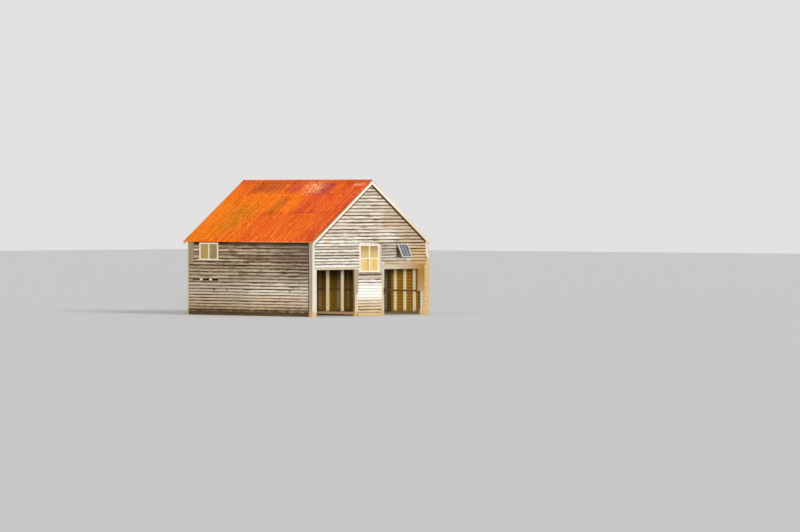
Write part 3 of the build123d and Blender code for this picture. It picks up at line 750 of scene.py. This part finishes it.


# dirt is the colour of the painted shade and dirt under each lap
frontBoardLook = {
    "dark": rgb(232, 220, 202), "light": rgb(255, 252, 242), "patch": rgb(172, 150, 126),
    "runAmount": 0.6, "pale": rgb(255, 251, 240), "deep": rgb(172, 148, 122), "toneSpread": 0.55,
    "bleach": rgb(254, 251, 240), "bleachFrom": (0.4, 0.72), "bleachTo": (1.3, 1.2), "bleachAmount": 0.0,
    "wear": 0.5, "bare": rgb(122, 98, 74), "bareAmount": 0.75, "lap": (0.46, 0.61), "lapShade": 0.98,
    "lapRagged": 0.55, "bleachOver": 0.7, "lapDirtAndShade": rgb(30, 14, 4), "lapUneven": 0.38,
    "dampReach": 0.24, "dampAmount": 0.6, "damp": rgb(204, 166, 108), "insideShade": 0.0,
    # painted shadow with grime under the barge boards, each (side, reach, softness, amount)
    "underRoof": [(1, 0.19, 0.02, 0.9), (-1, 0.24, 0.02, 0.6)], "grimeAndShade": rgb(66, 44, 26),
    "patchAxis": 0, "patchWander": 0.35,
    "shadows": [(1.5, 1.9, 2.36, 2.86, 0.04, rgb(62, 46, 32), 0.85)],
    "patches": [
        (1.75, 3.5, 2.82, 3.62, 0.3, rgb(186, 148, 106), 0.75),
        (2.35, 3.5, 1.9, 2.8, 0.1, rgb(196, 152, 80), 0.75),
        (0.7, 2.8, 3.5, 4.3, 0.15, rgb(184, 150, 112), 0.6),
        (0.5, 1.6, 2.12, 2.9, 0.08, rgb(156, 134, 106), 0.45),
        (0.8, 3.5, 1.8, 2.2, 0.08, rgb(190, 154, 98), 0.7),
        (-2.75, -2.3, 2.92, 3.12, 0.05, rgb(226, 170, 122), 0.5),
        (-3.5, 3.5, 3.2, 5.3, 0.3, rgb(206, 176, 130), 0.32),
        (-0.9, -0.1, 4.2, 4.9, 0.15, rgb(206, 204, 184), 0.4),
    ],
}
pierBoardLook = {
    **frontBoardLook, "bleachAmount": 0.85, "wear": 0.4, "runAmount": 0.4, "lapUneven": 0.4, "underRoof": [],
    "shadows": [], "patchWander": 0.2,
    "patches": [
        (-2.0, 2.0, 1.5, 1.8, 0.03, rgb(196, 176, 148), 0.7),
        (-2.0, 2.0, -1.0, 0.7, 0.08, rgb(198, 164, 106), 0.5),
        (-2.0, 2.0, -1.0, 0.42, 0.1, rgb(222, 184, 118), 0.4),
    ],
}
rightPieceLook = {
    **frontBoardLook, "lapShade": 0.35, "underRoof": [], "runAmount": 0.3, "shadows": [],
    "patches": [(0.0, 4.0, -1.0, 3.0, 0.1, rgb(206, 162, 84), 0.7)],
}
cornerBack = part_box("front_left_corner_board")[1][1]
# dirt is the colour of the painted shade and dirt under each lap
sideBoardLook = {
    "dark": rgb(184, 152, 112), "light": rgb(255, 238, 208), "patch": rgb(126, 94, 62),
    "runAmount": 0.78, "pale": rgb(248, 232, 204), "deep": rgb(140, 106, 68), "toneSpread": 0.6,
    "bleach": rgb(250, 238, 214), "bleachFrom": (0.25, 0.45), "bleachTo": (1.75, 1.0), "bleachAmount": 0.7,
    "wear": 0.45, "bare": rgb(118, 88, 56), "bareAmount": 0.75, "lap": (0.4, 0.62), "lapShade": 0.98,
    "lapRagged": 0.6, "bleachOver": 0.0, "lapDirtAndShade": rgb(40, 18, 2), "lapUneven": 0.3,
    "dampReach": 0.33, "dampAmount": 0.9, "damp": rgb(66, 46, 20), "underRoof": [], "patchAxis": 1,
    "patchWander": 0.12, "grimeAndShade": rgb(40, 26, 14), "insideShade": 0.0,
    "patches": [
        (-9.0, 9.0, -1.0, 0.75, 0.15, rgb(200, 158, 98), 0.4),
        (0.2, 9.0, -1.0, 1.9, 0.5, rgb(124, 90, 46), 0.32),
        (-9.0, 9.0, 1.55, 4.0, 0.2, rgb(112, 82, 60), 0.15),
        (-9.0, -2.0, 1.2, 4.0, 0.3, rgb(112, 92, 84), 0.25),
        (-9.0, -1.4, 2.0, 4.0, 0.25, rgb(96, 68, 46), 0.3),
    ],
    "shadows": [
        (-9.0, 9.0, 1.6, 4.0, 0.2, rgb(38, 22, 10), 0.08),
        (-9.0, 9.0, 2.872, 4.0, 0.02, rgb(34, 16, 8), 0.9),
        (-9.0, cornerBack + 0.048, -1.0, 4.0, 0.008, rgb(36, 24, 14), 0.9),
    ],
}
# the back gable gets the same painted shadow with grime under its barge boards
backBoardLook = {
    **sideBoardLook, "patchAxis": 0, "insideShade": 0.85, "shadows": [],
    "underRoof": [(1, 0.235, 0.022, 0.8), (-1, 0.235, 0.022, 0.8)],
}

frontWindow = {"width": 1.167, "bottom": 1.758, "height": 1.125, "centre": -0.098}
# The wide board under the front window, and where the courses stop behind it
plainBoard = {"bottom": 1.53, "top": 1.708, "tone": 0.35, "clearBottom": 1.535, "clearTop": 1.705}
missingBoard = {
    "fromBack": 0.16, "thinLength": 0.44, "thinHeight": 0.05, "length": 1.52, "height": 0.085, "top": 1.487,
}
windowLap = 0.018  # the side window's frame covers the ends of the boards by this much
wornEnd = {"low": 1.0, "high": 2.05, "lowDepth": 0.015, "highDepth": 0.04}
# Each is (distance behind the front corner, width, bottom, height)
brokenSpots = [(1.25, 0.06, 0.985, 0.1), (4.7, 0.11, 1.04, 0.055), (5.465, 0.11, 1.04, 0.055)]
far = 9  # past the end of any wall


# The side window, the worn back end, and the places where a board is missing or broken through
def leftHoles():
    front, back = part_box("front_gable_cladding")[0][1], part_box("left_wall_cladding")[1][1]
    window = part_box("side_window_frame")
    start, top = back - missingBoard["fromBack"], missingBoard["top"]
    change, end = start - missingBoard["thinLength"], start - missingBoard["length"]
    holes = [
        (window[0][1] + windowLap, window[1][1] - windowLap, window[0][2], window[1][2]),
        (far, back - wornEnd["lowDepth"], wornEnd["low"], wornEnd["high"]),
        (far, back - wornEnd["highDepth"], wornEnd["high"], far),
        (change, start, top - missingBoard["thinHeight"], top),
        (end, change, top - missingBoard["height"], top),
    ]
    for place, width, low, height in brokenSpots:
        holes.append((front + place, front + place + width, low, low + height))
    return holes


sideBoards = boardMaterial("weatheredSideBoards", "alongY", sideBoardLook)
frontStuds = frontStudCentres()
windowLeft = frontWindow["centre"] - frontWindow["width"] / 2
windowTop = frontWindow["bottom"] + frontWindow["height"]
windowHole = (windowLeft, windowLeft + frontWindow["width"], frontWindow["bottom"], windowTop)
lintel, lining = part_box("right_lintel_board"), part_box("right_lining_board")
buildWall("frontWeatherboards", "front_gable_cladding", 0, frontCourses,
          boardMaterial("whitewashedBoards", "alongX", frontBoardLook), "gable_boards",
          [windowHole, (lintel[0][0], far, 0, lintel[1][2])], frontStuds,
          bottom=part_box("left_lintel_board")[1][2], gable=True)
buildWall("pierWeatherboards", "pier_cladding", 0, frontCourses,
          boardMaterial("pierWhitewash", "alongX", pierBoardLook), "gable_boards",
          [windowHole, (-far, far, plainBoard["clearBottom"], plainBoard["clearTop"])], frontStuds,
          endWander=0.012, plain=plainBoard)
buildWall("frontRightWeatherboards", "front_right_cladding", 0, frontCourses,
          boardMaterial("rightEndWhitewash", "alongX", rightPieceLook), "gable_boards",
          [(-far, lining[1][0], lining[0][2], far)])
buildWall("leftWeatherboards", "left_wall_cladding", -90, sideCourses, sideBoards, "side_boards",
          leftHoles(), studCentres("left_wall_studs", 1, studs["sidePitch"]), endWander=0.02)
buildWall("rightWeatherboards", "right_wall_cladding", 90, sideCourses, sideBoards, "side_boards",
          centres=studCentres("right_wall_studs", 1, studs["sidePitch"]))
buildWall("backWeatherboards", "back_wall_cladding", 180, sideCourses,
          boardMaterial("weatheredBackBoards", "alongX", backBoardLook), "side_boards",
          centres=studCentres("back_wall_studs", 0, studs["gablePitch"]), gable=True)
for plank in planks:
    bpy.data.objects.remove(plank)
print("weatherboards laid")


# A small round head with a domed face, drawn out from a circle
def makeHead(name, look):
    proud, shoulder, crown = look["proud"], 0.6, 0.6
    head = startFrom(bpy.ops.mesh.primitive_circle_add, name, (0, look["sink"], 0), vertices=look["sides"],
                     radius=look["radius"], fill_type="NGON", rotation=(math.pi / 2, 0, 0))
    with editing(head, "FACE"):
        drawOut(0, -look["sink"] - proud * shoulder, 0)
        drawOut(0, -proud * (1 - shoulder), 0)
        bpy.ops.transform.resize(value=(crown, 1, crown))
        faceOutwards()
    return head


def buildNails():
    head = makeHead("nailHead", nails)
    heads = [copyAt(head, spot, chance.random()) for spot in nailSpots]
    finishPiece("boardNails", heads, nailIron, "bracket_steel")
    bpy.data.objects.remove(head)
    print(len(heads), "board nails")


buildNails()


# Corrugated iron
roofIron = roofMaterial("redOxideIron")
# Sheets that stand out on the side in view, by course from the ridge and column from the front
sheetTones = {(0, 1): 1.0, (0, 2): 0.5, (0, 3): 0.95, (1, 2): 1.0, (1, 3): 0.8, (1, 7): 0.05, (1, 8): 0.0}


def waveHeight(index):
    return iron["depth"] / 2 * math.cos(2 * math.pi * index / iron["steps"])


# One sheet, a metre long: an edge drawn out step by step into a row of waves
def makeSheet():
    sheet = startFrom(bpy.ops.mesh.primitive_plane_add, "ironSheet", (0.5, 0, 0), size=1)
    step = iron["pitch"] / iron["steps"]
    low = -iron["depth"] / 2 - iron["thick"]
    with editing(sheet, "VERT", lambda vert: vert.co.y > 0):
        bpy.ops.transform.translate(value=(0, step - 0.5, low + waveHeight(1)))
    with editing(sheet, "VERT", lambda vert: vert.co.y < 0):
        bpy.ops.transform.translate(value=(0, 0.5, low + waveHeight(0)))
    with editing(sheet, "EDGE", lambda edge: all(vert.co.y > step / 2 for vert in edge.verts)):
        for index in range(2, iron["waves"] * iron["steps"] + 1):
            rise = waveHeight(index) - waveHeight(index - 1)
            bpy.ops.mesh.extrude_edges_move(TRANSFORM_OT_translate={"value": (0, step, rise)})
    thicken = sheet.modifiers.new("thicken", "SOLIDIFY")
    thicken.thickness = iron["thick"]
    thicken.offset = 1
    pickOnly(sheet)
    bpy.ops.object.modifier_apply(modifier="thicken")
    bpy.ops.object.shade_smooth_by_angle(angle=math.radians(iron["smooth"]))
    return sheet


# The ways down and out of one slope, and a point on it by its distance from the front and the ridge
def slopeWays(side):
    return Vector((side * roof["run"], 0, -roof["rise"])), Vector((side * roof["rise"], 0, roof["run"]))


def onSlope(along, down):
    return Vector((0, roof["front"] + along, roof["apex"])) + down


def turned(*ways):
    return Matrix(ways).transposed().to_4x4()


def buildRoofSide(side, name, node):
    down, up = slopeWays(side)
    columns, length = iron["columns"], roof["half"] / roof["run"]
    cover = (roof["back"] - roof["front"]) / columns
    sheet = makeSheet()
    if side < 0:
        with editing(sheet, "FACE"):
            bpy.ops.mesh.flip_normals()
    basis = turned(down, Vector((0, 1, 0)), up)
    found = []
    for row in range(len(iron["courses"]) - 1):
        top = max(iron["underCap"], iron["courses"][row] * length - (iron["lap"] if row else 0))
        tall = iron["courses"][row + 1] * length - top
        tip = Matrix.Rotation(-math.atan2(iron["rise"], tall), 4, "Y")
        for column in range(columns):
            wander = chance.uniform(-iron["wander"], 0)
            size = Matrix.Diagonal((tall + wander, cover / iron["pitch"] / iron["waves"], 1, 1))
            corner = onSlope(column * cover, down * top) - up * (iron["rise"] + iron["sink"])
            redder = iron["red"] - iron["redFalls"] * column / columns + chance.uniform(-0.2, 0.2)
            tone = min(1.0, max(0.0, sheetTones.get((row, column), redder)))
            found.append(copyAt(sheet, Matrix.Translation(corner) @ basis @ tip @ size, tone))
    finishPiece(name, found, roofIron, "roof_iron", node)
    bpy.data.objects.remove(sheet)


roofNails = {
    "first": 0.070, "spacing": 0.64, "battenWidth": 0.075, "every": 3, "radius": 0.011, "proud": 0.0032,
    "sides": 10, "sink": 0.001, "rim": 0.001, "bury": 0.0008, "firstCrest": 2,
}


def buildRoofNails():
    washer = makeHead("roofWasher", roofNails)
    proud = roofNails["proud"]
    with editing(washer, "FACE", lambda face: face.calc_center_median().y < -proud * 0.98):
        bpy.ops.mesh.inset(thickness=roofNails["rim"])
        drawOut(0, -proud * 0.5, 0)
    first = roofNails["first"]
    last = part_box("right_wall_cladding")[0][0] / roof["run"] - roofNails["battenWidth"]
    count = math.ceil((last - first) / roofNails["spacing"])
    waves = iron["columns"] * iron["waves"]
    pitch = (roof["back"] - roof["front"]) / waves
    heads = []
    for side in (-1, 1):
        down, up = slopeWays(side)
        basis = turned(down, -up, Vector((0, side, 0)))
        for row in range(count + 1):
            place = first + (last - first) * row / count + roofNails["battenWidth"] / 2
            for crest in range(roofNails["firstCrest"], waves, roofNails["every"]):
                spot = onSlope(crest * pitch, down * place) - up * roofNails["bury"]
                heads.append(copyAt(washer, Matrix.Translation(spot) @ basis, chance.random()))
    finishPiece("roofNails", heads, nailIron, "bracket_steel")
    bpy.data.objects.remove(washer)
    print(len(heads), "roof nails")


buildRoofSide(-1, "leftRoofIron", "left_roof_sheet")
buildRoofSide(1, "rightRoofIron", "right_roof_sheet")
buildRoofNails()
print("roof laid")


# Solar panel: long dark cells on the pale backing inside its rim
panel = {
    "lean": 27, "thick": 0.035, "rim": 0.018, "recess": 0.003, "length": 0.59, "cell": 0.0018,
    "columns": 3, "gapAcross": 0.014, "gapDown": 0.004, "corner": 0.006, "gap": 0.0002,
}


def buildSolarCells():
    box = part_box("solar_panel")
    tilt = math.radians(panel["lean"])
    across = Vector((1, 0, 0))
    down = Vector((0, -math.sin(tilt), -math.cos(tilt)))
    out = Vector((0, -math.cos(tilt), math.sin(tilt)))
    lowY = box[0][1] + panel["length"] * math.sin(tilt) + panel["thick"] * math.cos(tilt)
    topBack = Vector((box[0][0], lowY, box[1][2] - panel["thick"] * math.sin(tilt)))
    inside = box[1][0] - box[0][0] - 2 * panel["rim"]
    wide = (inside - panel["gapAcross"] * (panel["columns"] + 1)) / panel["columns"]
    tall = panel["length"] - 2 * panel["rim"] - 2 * panel["gapDown"]
    cell = startFrom(bpy.ops.mesh.primitive_plane_add, "solarCell", (wide / 2, tall / 2, 0), (wide, tall, 1),
                     size=1)
    with editing(cell, "VERT"):
        bpy.ops.mesh.bevel(offset=panel["corner"], segments=1, affect="VERTICES")
        bpy.ops.mesh.select_all(action="SELECT")
        drawOut(0, 0, panel["cell"])
        faceOutwards()
    basis = turned(across, down, -out)
    face = topBack + out * (panel["thick"] - panel["recess"] + panel["cell"] + panel["gap"])
    cells = []
    for column in range(panel["columns"]):
        x = panel["rim"] + panel["gapAcross"] + column * (wide + panel["gapAcross"])
        place = Matrix.Translation(face + across * x + down * (panel["rim"] + panel["gapDown"]))
        cells.append(copyAt(cell, place @ basis, chance.random()))
    cellGlass = plainMaterial("blueGreyCells", rgb(74, 80, 92), rgb(122, 126, 134), 6.0, 0.22)
    finishPiece("solarCells", cells, cellGlass, "solar_cells")
    bpy.data.objects.remove(cell)


buildSolarCells()
print("solar panel finished")


# Walkway: worn planks across the bearers, notched round the posts
walkway = {
    "plank": 0.138, "gap": 0.008, "edge": 0.004, "sag": 0.0015, "notch": 0.13, "bayLength": 0.82,
    "clear": 0.004, "short": 0.012, "inset": 0.001, "drop": 0.0005, "cuts": 4, "seed": 5,
    "end": 0.05,
}
frameLook = {
    "dark": rgb(255, 230, 168), "light": rgb(255, 246, 208), "wear": 0.15, "bare": rgb(200, 156, 92),
    "bareAmount": 0.6, "damp": rgb(96, 74, 40), "dampReach": 0.22,
}
deckLook = {**frameLook, "dark": rgb(168, 128, 84), "light": rgb(226, 188, 138), "dampReach": 0.02}


def postRows(posts):
    half = (posts[1][0] - posts[0][0]) / 2
    count = round((posts[1][1] - posts[0][1] - 2 * half) / walkway["bayLength"])
    return [posts[0][1] + half + walkway["bayLength"] * index for index in range(count + 1)]


def buildWalkway():
    box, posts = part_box("walkway_deck"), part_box("centre_posts")
    thick, wide, end = box[1][2] - box[0][2], walkway["plank"], walkway["end"]
    plank = startFrom(bpy.ops.mesh.primitive_cube_add, "walkwayPlank", (0.5, wide / 2, -thick / 2),
                      (1, wide, thick), size=1)
    with editing(plank, "EDGE", runsAlong(0)):
        bpy.ops.mesh.bevel(offset=walkway["edge"], segments=1, affect="EDGES")
    with editing(plank, "EDGE", runsAlong(0)):
        bpy.ops.mesh.subdivide(number_cuts=walkway["cuts"])
    with editing(plank, "VERT", lambda vert: end < vert.co.x < 1 - end and vert.co.z < -thick / 2):
        roughen(walkway["sag"], walkway["seed"])
    left, right = box[0][0], box[1][0]
    notched = [(left, posts[0][0] - walkway["clear"]), (posts[1][0] + walkway["clear"], right)]
    planks = []
    place = box[0][1]
    while place + wide < box[1][1]:
        atPost = any(abs(row - place - wide / 2) < walkway["notch"] for row in postRows(posts))
        for start, stop in notched if atPost else [(left, right)]:
            size = Matrix.Diagonal((stop - start - chance.uniform(0, walkway["short"]), 1, 1, 1))
            spot = Matrix.Translation((start + walkway["inset"], place, box[1][2] - walkway["drop"]))
            planks.append(copyAt(plank, spot @ size, chance.random()))
        place += wide + walkway["gap"]
    deckWood = timberMaterial("walkwayPlanks", "alongX", deckLook)
    finishPiece("walkwayPlanks", planks, deckWood, "deck_boards", "walkway_deck")
    bpy.data.objects.remove(plank)


# Boards along both edges of the walkway, fixed to the ends of its bearers
edgeBoard = {"height": 0.09, "thick": 0.022, "edge": 0.003, "below": 0.001}


def buildEdgeBoards():
    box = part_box("walkway_deck")
    length, outer = box[1][1] - box[0][1], edgeBoard["thick"] / 2
    scale = (edgeBoard["thick"], length, edgeBoard["height"])
    board = startFrom(bpy.ops.mesh.primitive_cube_add, "edgeBoard", (0, length / 2, -scale[2] / 2), scale,
                      size=1)
    with editing(board, "EDGE", runsAlong(1)):
        bpy.ops.mesh.bevel(offset=edgeBoard["edge"], segments=1, affect="EDGES")
    pair = []
    for x in (box[0][0] - outer, box[1][0] + outer):
        spot = Matrix.Translation((x, box[0][1], box[1][2] - edgeBoard["below"]))
        pair.append(copyAt(board, spot, chance.random()))
    finishPiece("walkwayEdgeBoards", pair, timberMaterial("walkwayEdges", "alongY", deckLook), "deck_boards")
    bpy.data.objects.remove(board)


buildWalkway()
buildEdgeBoards()
print("walkway laid")


# Finishes of the pieces that keep their CAD shape
trimLook = {
    "dark": rgb(206, 192, 168), "light": rgb(248, 241, 224), "wear": 0.45, "bare": rgb(168, 142, 112),
    "bareAmount": 0.7, "damp": rgb(206, 170, 114), "dampReach": 0.26,
}
greyTrimLook = {
    "dark": rgb(176, 160, 136), "light": rgb(226, 214, 192), "wear": 0.5, "bare": rgb(150, 126, 98),
    "bareAmount": 0.7, "damp": rgb(170, 138, 88), "dampReach": 0.25,
}
lintelLook = {
    "dark": rgb(184, 168, 144), "light": rgb(224, 210, 188), "wear": 0.45, "bare": rgb(160, 134, 100),
    "bareAmount": 0.7, "damp": rgb(170, 138, 88), "dampReach": 0.1,
}
goldLook = {"dark": rgb(118, 78, 14), "light": rgb(196, 144, 46)}
goldTrimLook = {**trimLook, "dark": rgb(190, 156, 96), "light": rgb(232, 202, 140)}
jambLook = {**greyTrimLook, "dark": rgb(152, 136, 110), "light": rgb(200, 186, 158)}
wornTrimLook = {**trimLook, "dark": rgb(186, 170, 138), "light": rgb(230, 216, 188)}
# the left-facing reveals of the berth posts are darker: painted shade
shadedRevealLook = {"dark": rgb(100, 82, 50), "light": rgb(142, 120, 82)}
returnLook = {"dark": rgb(150, 138, 122), "light": rgb(204, 190, 170)}
# back wall studs darker: painted shade of the dark interior
backStudLook = {**frameLook, "dark": rgb(92, 66, 38), "light": rgb(138, 104, 62)}
endLook = {**greyTrimLook, "dark": rgb(134, 114, 86), "light": rgb(188, 168, 134)}
# mid rails darker: painted shade of the dark interior
shadedRailLook = {**frameLook, "dark": rgb(104, 72, 34), "light": rgb(150, 108, 54)}
roofTimberLook = {**frameLook, "dark": rgb(98, 74, 46), "light": rgb(160, 130, 88)}
# painted shade: the rails take the shaded interior's colour deeper in the building, and the right wall's
# studs darken in a strip, far in and higher up
railShades = [(0.0, 9.0, -1.0, 4.0, 0.3, rgb(140, 98, 34), 0.9)]
studShades = [
    (-1.45, 0.6, -1.0, 4.0, 0.05, rgb(60, 42, 26), 0.8),
    (0.6, 9.0, -1.0, 4.0, 0.2, rgb(140, 98, 34), 0.75),
    (0.6, 9.0, 1.45, 4.0, 0.15, rgb(70, 44, 20), 0.5),
]
sashEdge = 0.0583  # from the panes to the end of the sash, where the casing strip starts
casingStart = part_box("front_window_glass")[1][0] + sashEdge
casing = (greyTrimLook, "Object", 0, (casingStart - 0.001, casingStart + 0.001))
leftFaces = (-0.4, -0.6)  # faces that look to the left, by their normal
# painted reflection in the front panes: golden bands, darker in the upper panes
frontReflection = {
    "low": rgb(214, 178, 104), "high": rgb(240, 206, 132), "streaks": (5.0, 1.0, 0.8),
    "axis": 0, "wander": 0.12,
    "reflectedTints": [
        (-1.0, 1.0, 2.31, 3.0, 0.01, rgb(200, 172, 112), 0.75),
        (-1.0, 1.0, 2.62, 3.0, 0.12, rgb(146, 120, 66), 0.75),
        (-0.2, -0.13, 1.7, 2.31, 0.02, rgb(166, 122, 66), 0.65),
        (-0.6, -0.56, 1.7, 2.31, 0.02, rgb(186, 144, 84), 0.5),
    ],
}
sideMiddle = sum(corner[1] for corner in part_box("side_window_glass")) / 2
# painted reflection in the side panes, one pane lighter
sideReflection = {
    "low": rgb(108, 104, 62), "high": rgb(172, 144, 84), "streaks": (1.0, 6.0, 0.8),
    "axis": 1, "wander": 0.12,
    "reflectedTints": [(sideMiddle, sideMiddle + 2, 1.0, 4.0, 0.02, rgb(204, 164, 88), 0.6)],
}
upright = {  # timber whose fibre runs upwards: name, look, painted shades, second look, and the pieces
    "whitewashedUprightTrim": (trimLook, [], None, "sprung_corner_board"),
    "wornUprightTrim": (wornTrimLook, [], None, "pier_edge_board"),
    "goldenUprightTrim": (goldTrimLook, [], None, "front_right_corner_board", "lower_corner_board"),
    "agedEndBoard": (endLook, [], None, "left_wall_end_board"),
    "greyUprightTrim": (greyTrimLook, [], None, "back_left_corner_board", "back_right_corner_board"),
    "greyJambBoard": (jambLook, [], None, "left_jamb_board"),
    "greyLiningGoldEdge": (lintelLook, [], (goldLook, "Object", 2, (-0.6, 1.7)), "right_lining_board"),
    "sawnUprights": (frameLook, [], None, "corner_posts", "pier_studs", "front_gable_studs",
                     "left_wall_studs", "centre_posts"),
    "shadedBackStuds": (backStudLook, [], None, "back_wall_studs"),
    "sawnRightStuds": (frameLook, studShades, None, "right_wall_studs"),
    "whiteFaceShadedReveal": (wornTrimLook, [], (shadedRevealLook, "Normal", 0, leftFaces), "berth_posts"),
    "whiteFrontGreyReturn": (trimLook, [], (returnLook, "Normal", 0, leftFaces), "front_left_corner_board"),
    "creamJoinery": (creamLook, [], None, "side_window_frame"),
    "creamSashGreyCasing": (creamLook, [], casing, "front_window_frame"),
}
finishes = [(timberMaterial(name, "upright", *look[:3]), *look[3:]) for name, look in upright.items()]
finishes += [
    (timberMaterial("creamLintelGoldEnd", "alongX", lintelLook, (), (goldLook, "Object", 0, (1.4, 3.1))),
     "left_lintel_board", "right_lintel_board"),
    (timberMaterial("sawnCrossBeams", "alongX", frameLook), "front_lintel_beams", "front_tie_beam",
     "middle_tie_beam", "back_tie_beam", "walkway_bearers", "sole_plates"),
    (timberMaterial("sawnLongBeams", "alongY", frameLook), "left_wall_plate", "right_wall_plate",
     "centre_beam", "ridge_board"),
    (timberMaterial("shadedMidRails", "alongY", shadedRailLook, railShades), "left_mid_rail", "right_mid_rail"),
    (timberMaterial("sawnRafters", "slope", roofTimberLook), "left_rafters", "right_rafters"),
    (timberMaterial("sawnBattens", "alongY", roofTimberLook), "left_roof_battens", "right_roof_battens"),
    (bargeMaterial("creamBargeBoards", bargeLook), "front_left_barge_board", "front_right_barge_board",
     "back_left_barge_board", "back_right_barge_board"),
    (roofMaterial("redOxideRidge", 0.65), "ridge_cap"),
    (glassMaterial("goldenFrontGlassReflection", frontReflection), "front_window_glass"),
    (glassMaterial("dullSideGlassReflection", sideReflection), "side_window_glass"),
    (plainMaterial("paleRimMetal", rgb(222, 218, 210), rgb(248, 244, 238), 20.0, 0.45, 0.3), "solar_panel"),
    (plainMaterial("darkBracketSteel", rgb(46, 42, 38), rgb(84, 72, 60), 24.0, 0.6, 0.4), "panel_brackets"),
]
for material, *names in finishes:
    for name in names:
        dress(nodes[name], material)
print("CAD pieces finished")


# Camera, floor and light
camera = {
    "turn": 46.5, "focal": 5300, "horizon": 198, "cornerX": 312.3, "cornerY": 317.0, "scale": 25.0,
    "sensor": 36, "reach": 1000,
}
photoSize = {"width": 800, "height": 532}


def addCamera():
    turn = math.radians(camera["turn"])
    distance = camera["focal"] / camera["scale"]
    height = (camera["cornerY"] - camera["horizon"]) / camera["scale"]
    yaw = math.atan((photoSize["width"] / 2 - camera["cornerX"]) / camera["focal"])
    pitch = math.atan((photoSize["height"] / 2 - camera["horizon"]) / camera["focal"])
    corner = (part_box("left_wall_cladding")[0][0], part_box("front_gable_cladding")[0][1])
    place = (corner[0] - math.sin(turn) * distance, corner[1] - math.cos(turn) * distance, height)
    bpy.ops.object.camera_add(location=place, rotation=(math.pi / 2 - pitch, 0, -(turn + yaw)))
    made = bpy.context.object
    made.data.sensor_width = camera["sensor"]
    made.data.lens = camera["focal"] / photoSize["width"] * camera["sensor"]
    made.data.clip_end = camera["reach"]
    bpy.context.scene.camera = made


light = {
    "key": {"power": 1.05, "soft": 20, "turn": 0, "high": 30},
    "fill": {"power": 2.45, "soft": 12, "turn": -45, "high": 4},
    "sky": 0.42,
}
floorLook = {
    "size": 400, "below": 0.002, "shown": rgb(240, 240, 238), "bounce": rgb(176, 172, 166),
    "backdrop": rgb(226, 226, 225),
}


def straightLook(tree):  # 1 where the camera, a mirror or a pane looks straight at it
    path = addNode(tree, "ShaderNodeLightPath").outputs
    shown = maths("MAXIMUM", path["Is Camera Ray"], path["Is Glossy Ray"])
    return maths("MAXIMUM", shown, path["Is Transmission Ray"])


def addFloor():
    bpy.ops.mesh.primitive_plane_add(size=floorLook["size"], location=(0, 0, -floorLook["below"]))
    floor = bpy.context.object
    floor.name = "studioFloor"
    material, shader, place = newMaterial("studioFloor", 0.9)
    colour = mixColour(straightLook(shader.id_data), floorLook["bounce"], floorLook["shown"])
    plug(colour, shader.inputs["Base Color"])
    floor.data.materials.append(material)


def addLight():
    for look in (light["key"], light["fill"]):
        way = (math.radians(90 - look["high"]), 0, math.radians(look["turn"]))
        bpy.ops.object.light_add(type="SUN", rotation=way)
        bpy.context.object.data.energy = look["power"]
        bpy.context.object.data.angle = math.radians(look["soft"])
    world = bpy.data.worlds.new("studioSky")
    world.use_nodes = True
    tree = world.node_tree
    sky = tree.nodes["Background"]
    sky.inputs[0].default_value = (1, 1, 1, 1)
    sky.inputs[1].default_value = light["sky"]
    backdrop = addNode(tree, "ShaderNodeBackground", {0: floorLook["backdrop"], 1: 1.0}).outputs[0]
    mix = follow("ShaderNodeMixShader", {0: straightLook(tree), 1: sky.outputs[0], 2: backdrop})
    plug(mix[0], tree.nodes["World Output"].inputs[0])
    bpy.context.scene.world = world


addCamera()
addFloor()
addLight()
bpy.context.scene.view_settings.view_transform = "Standard"
print("camera, floor and light set")
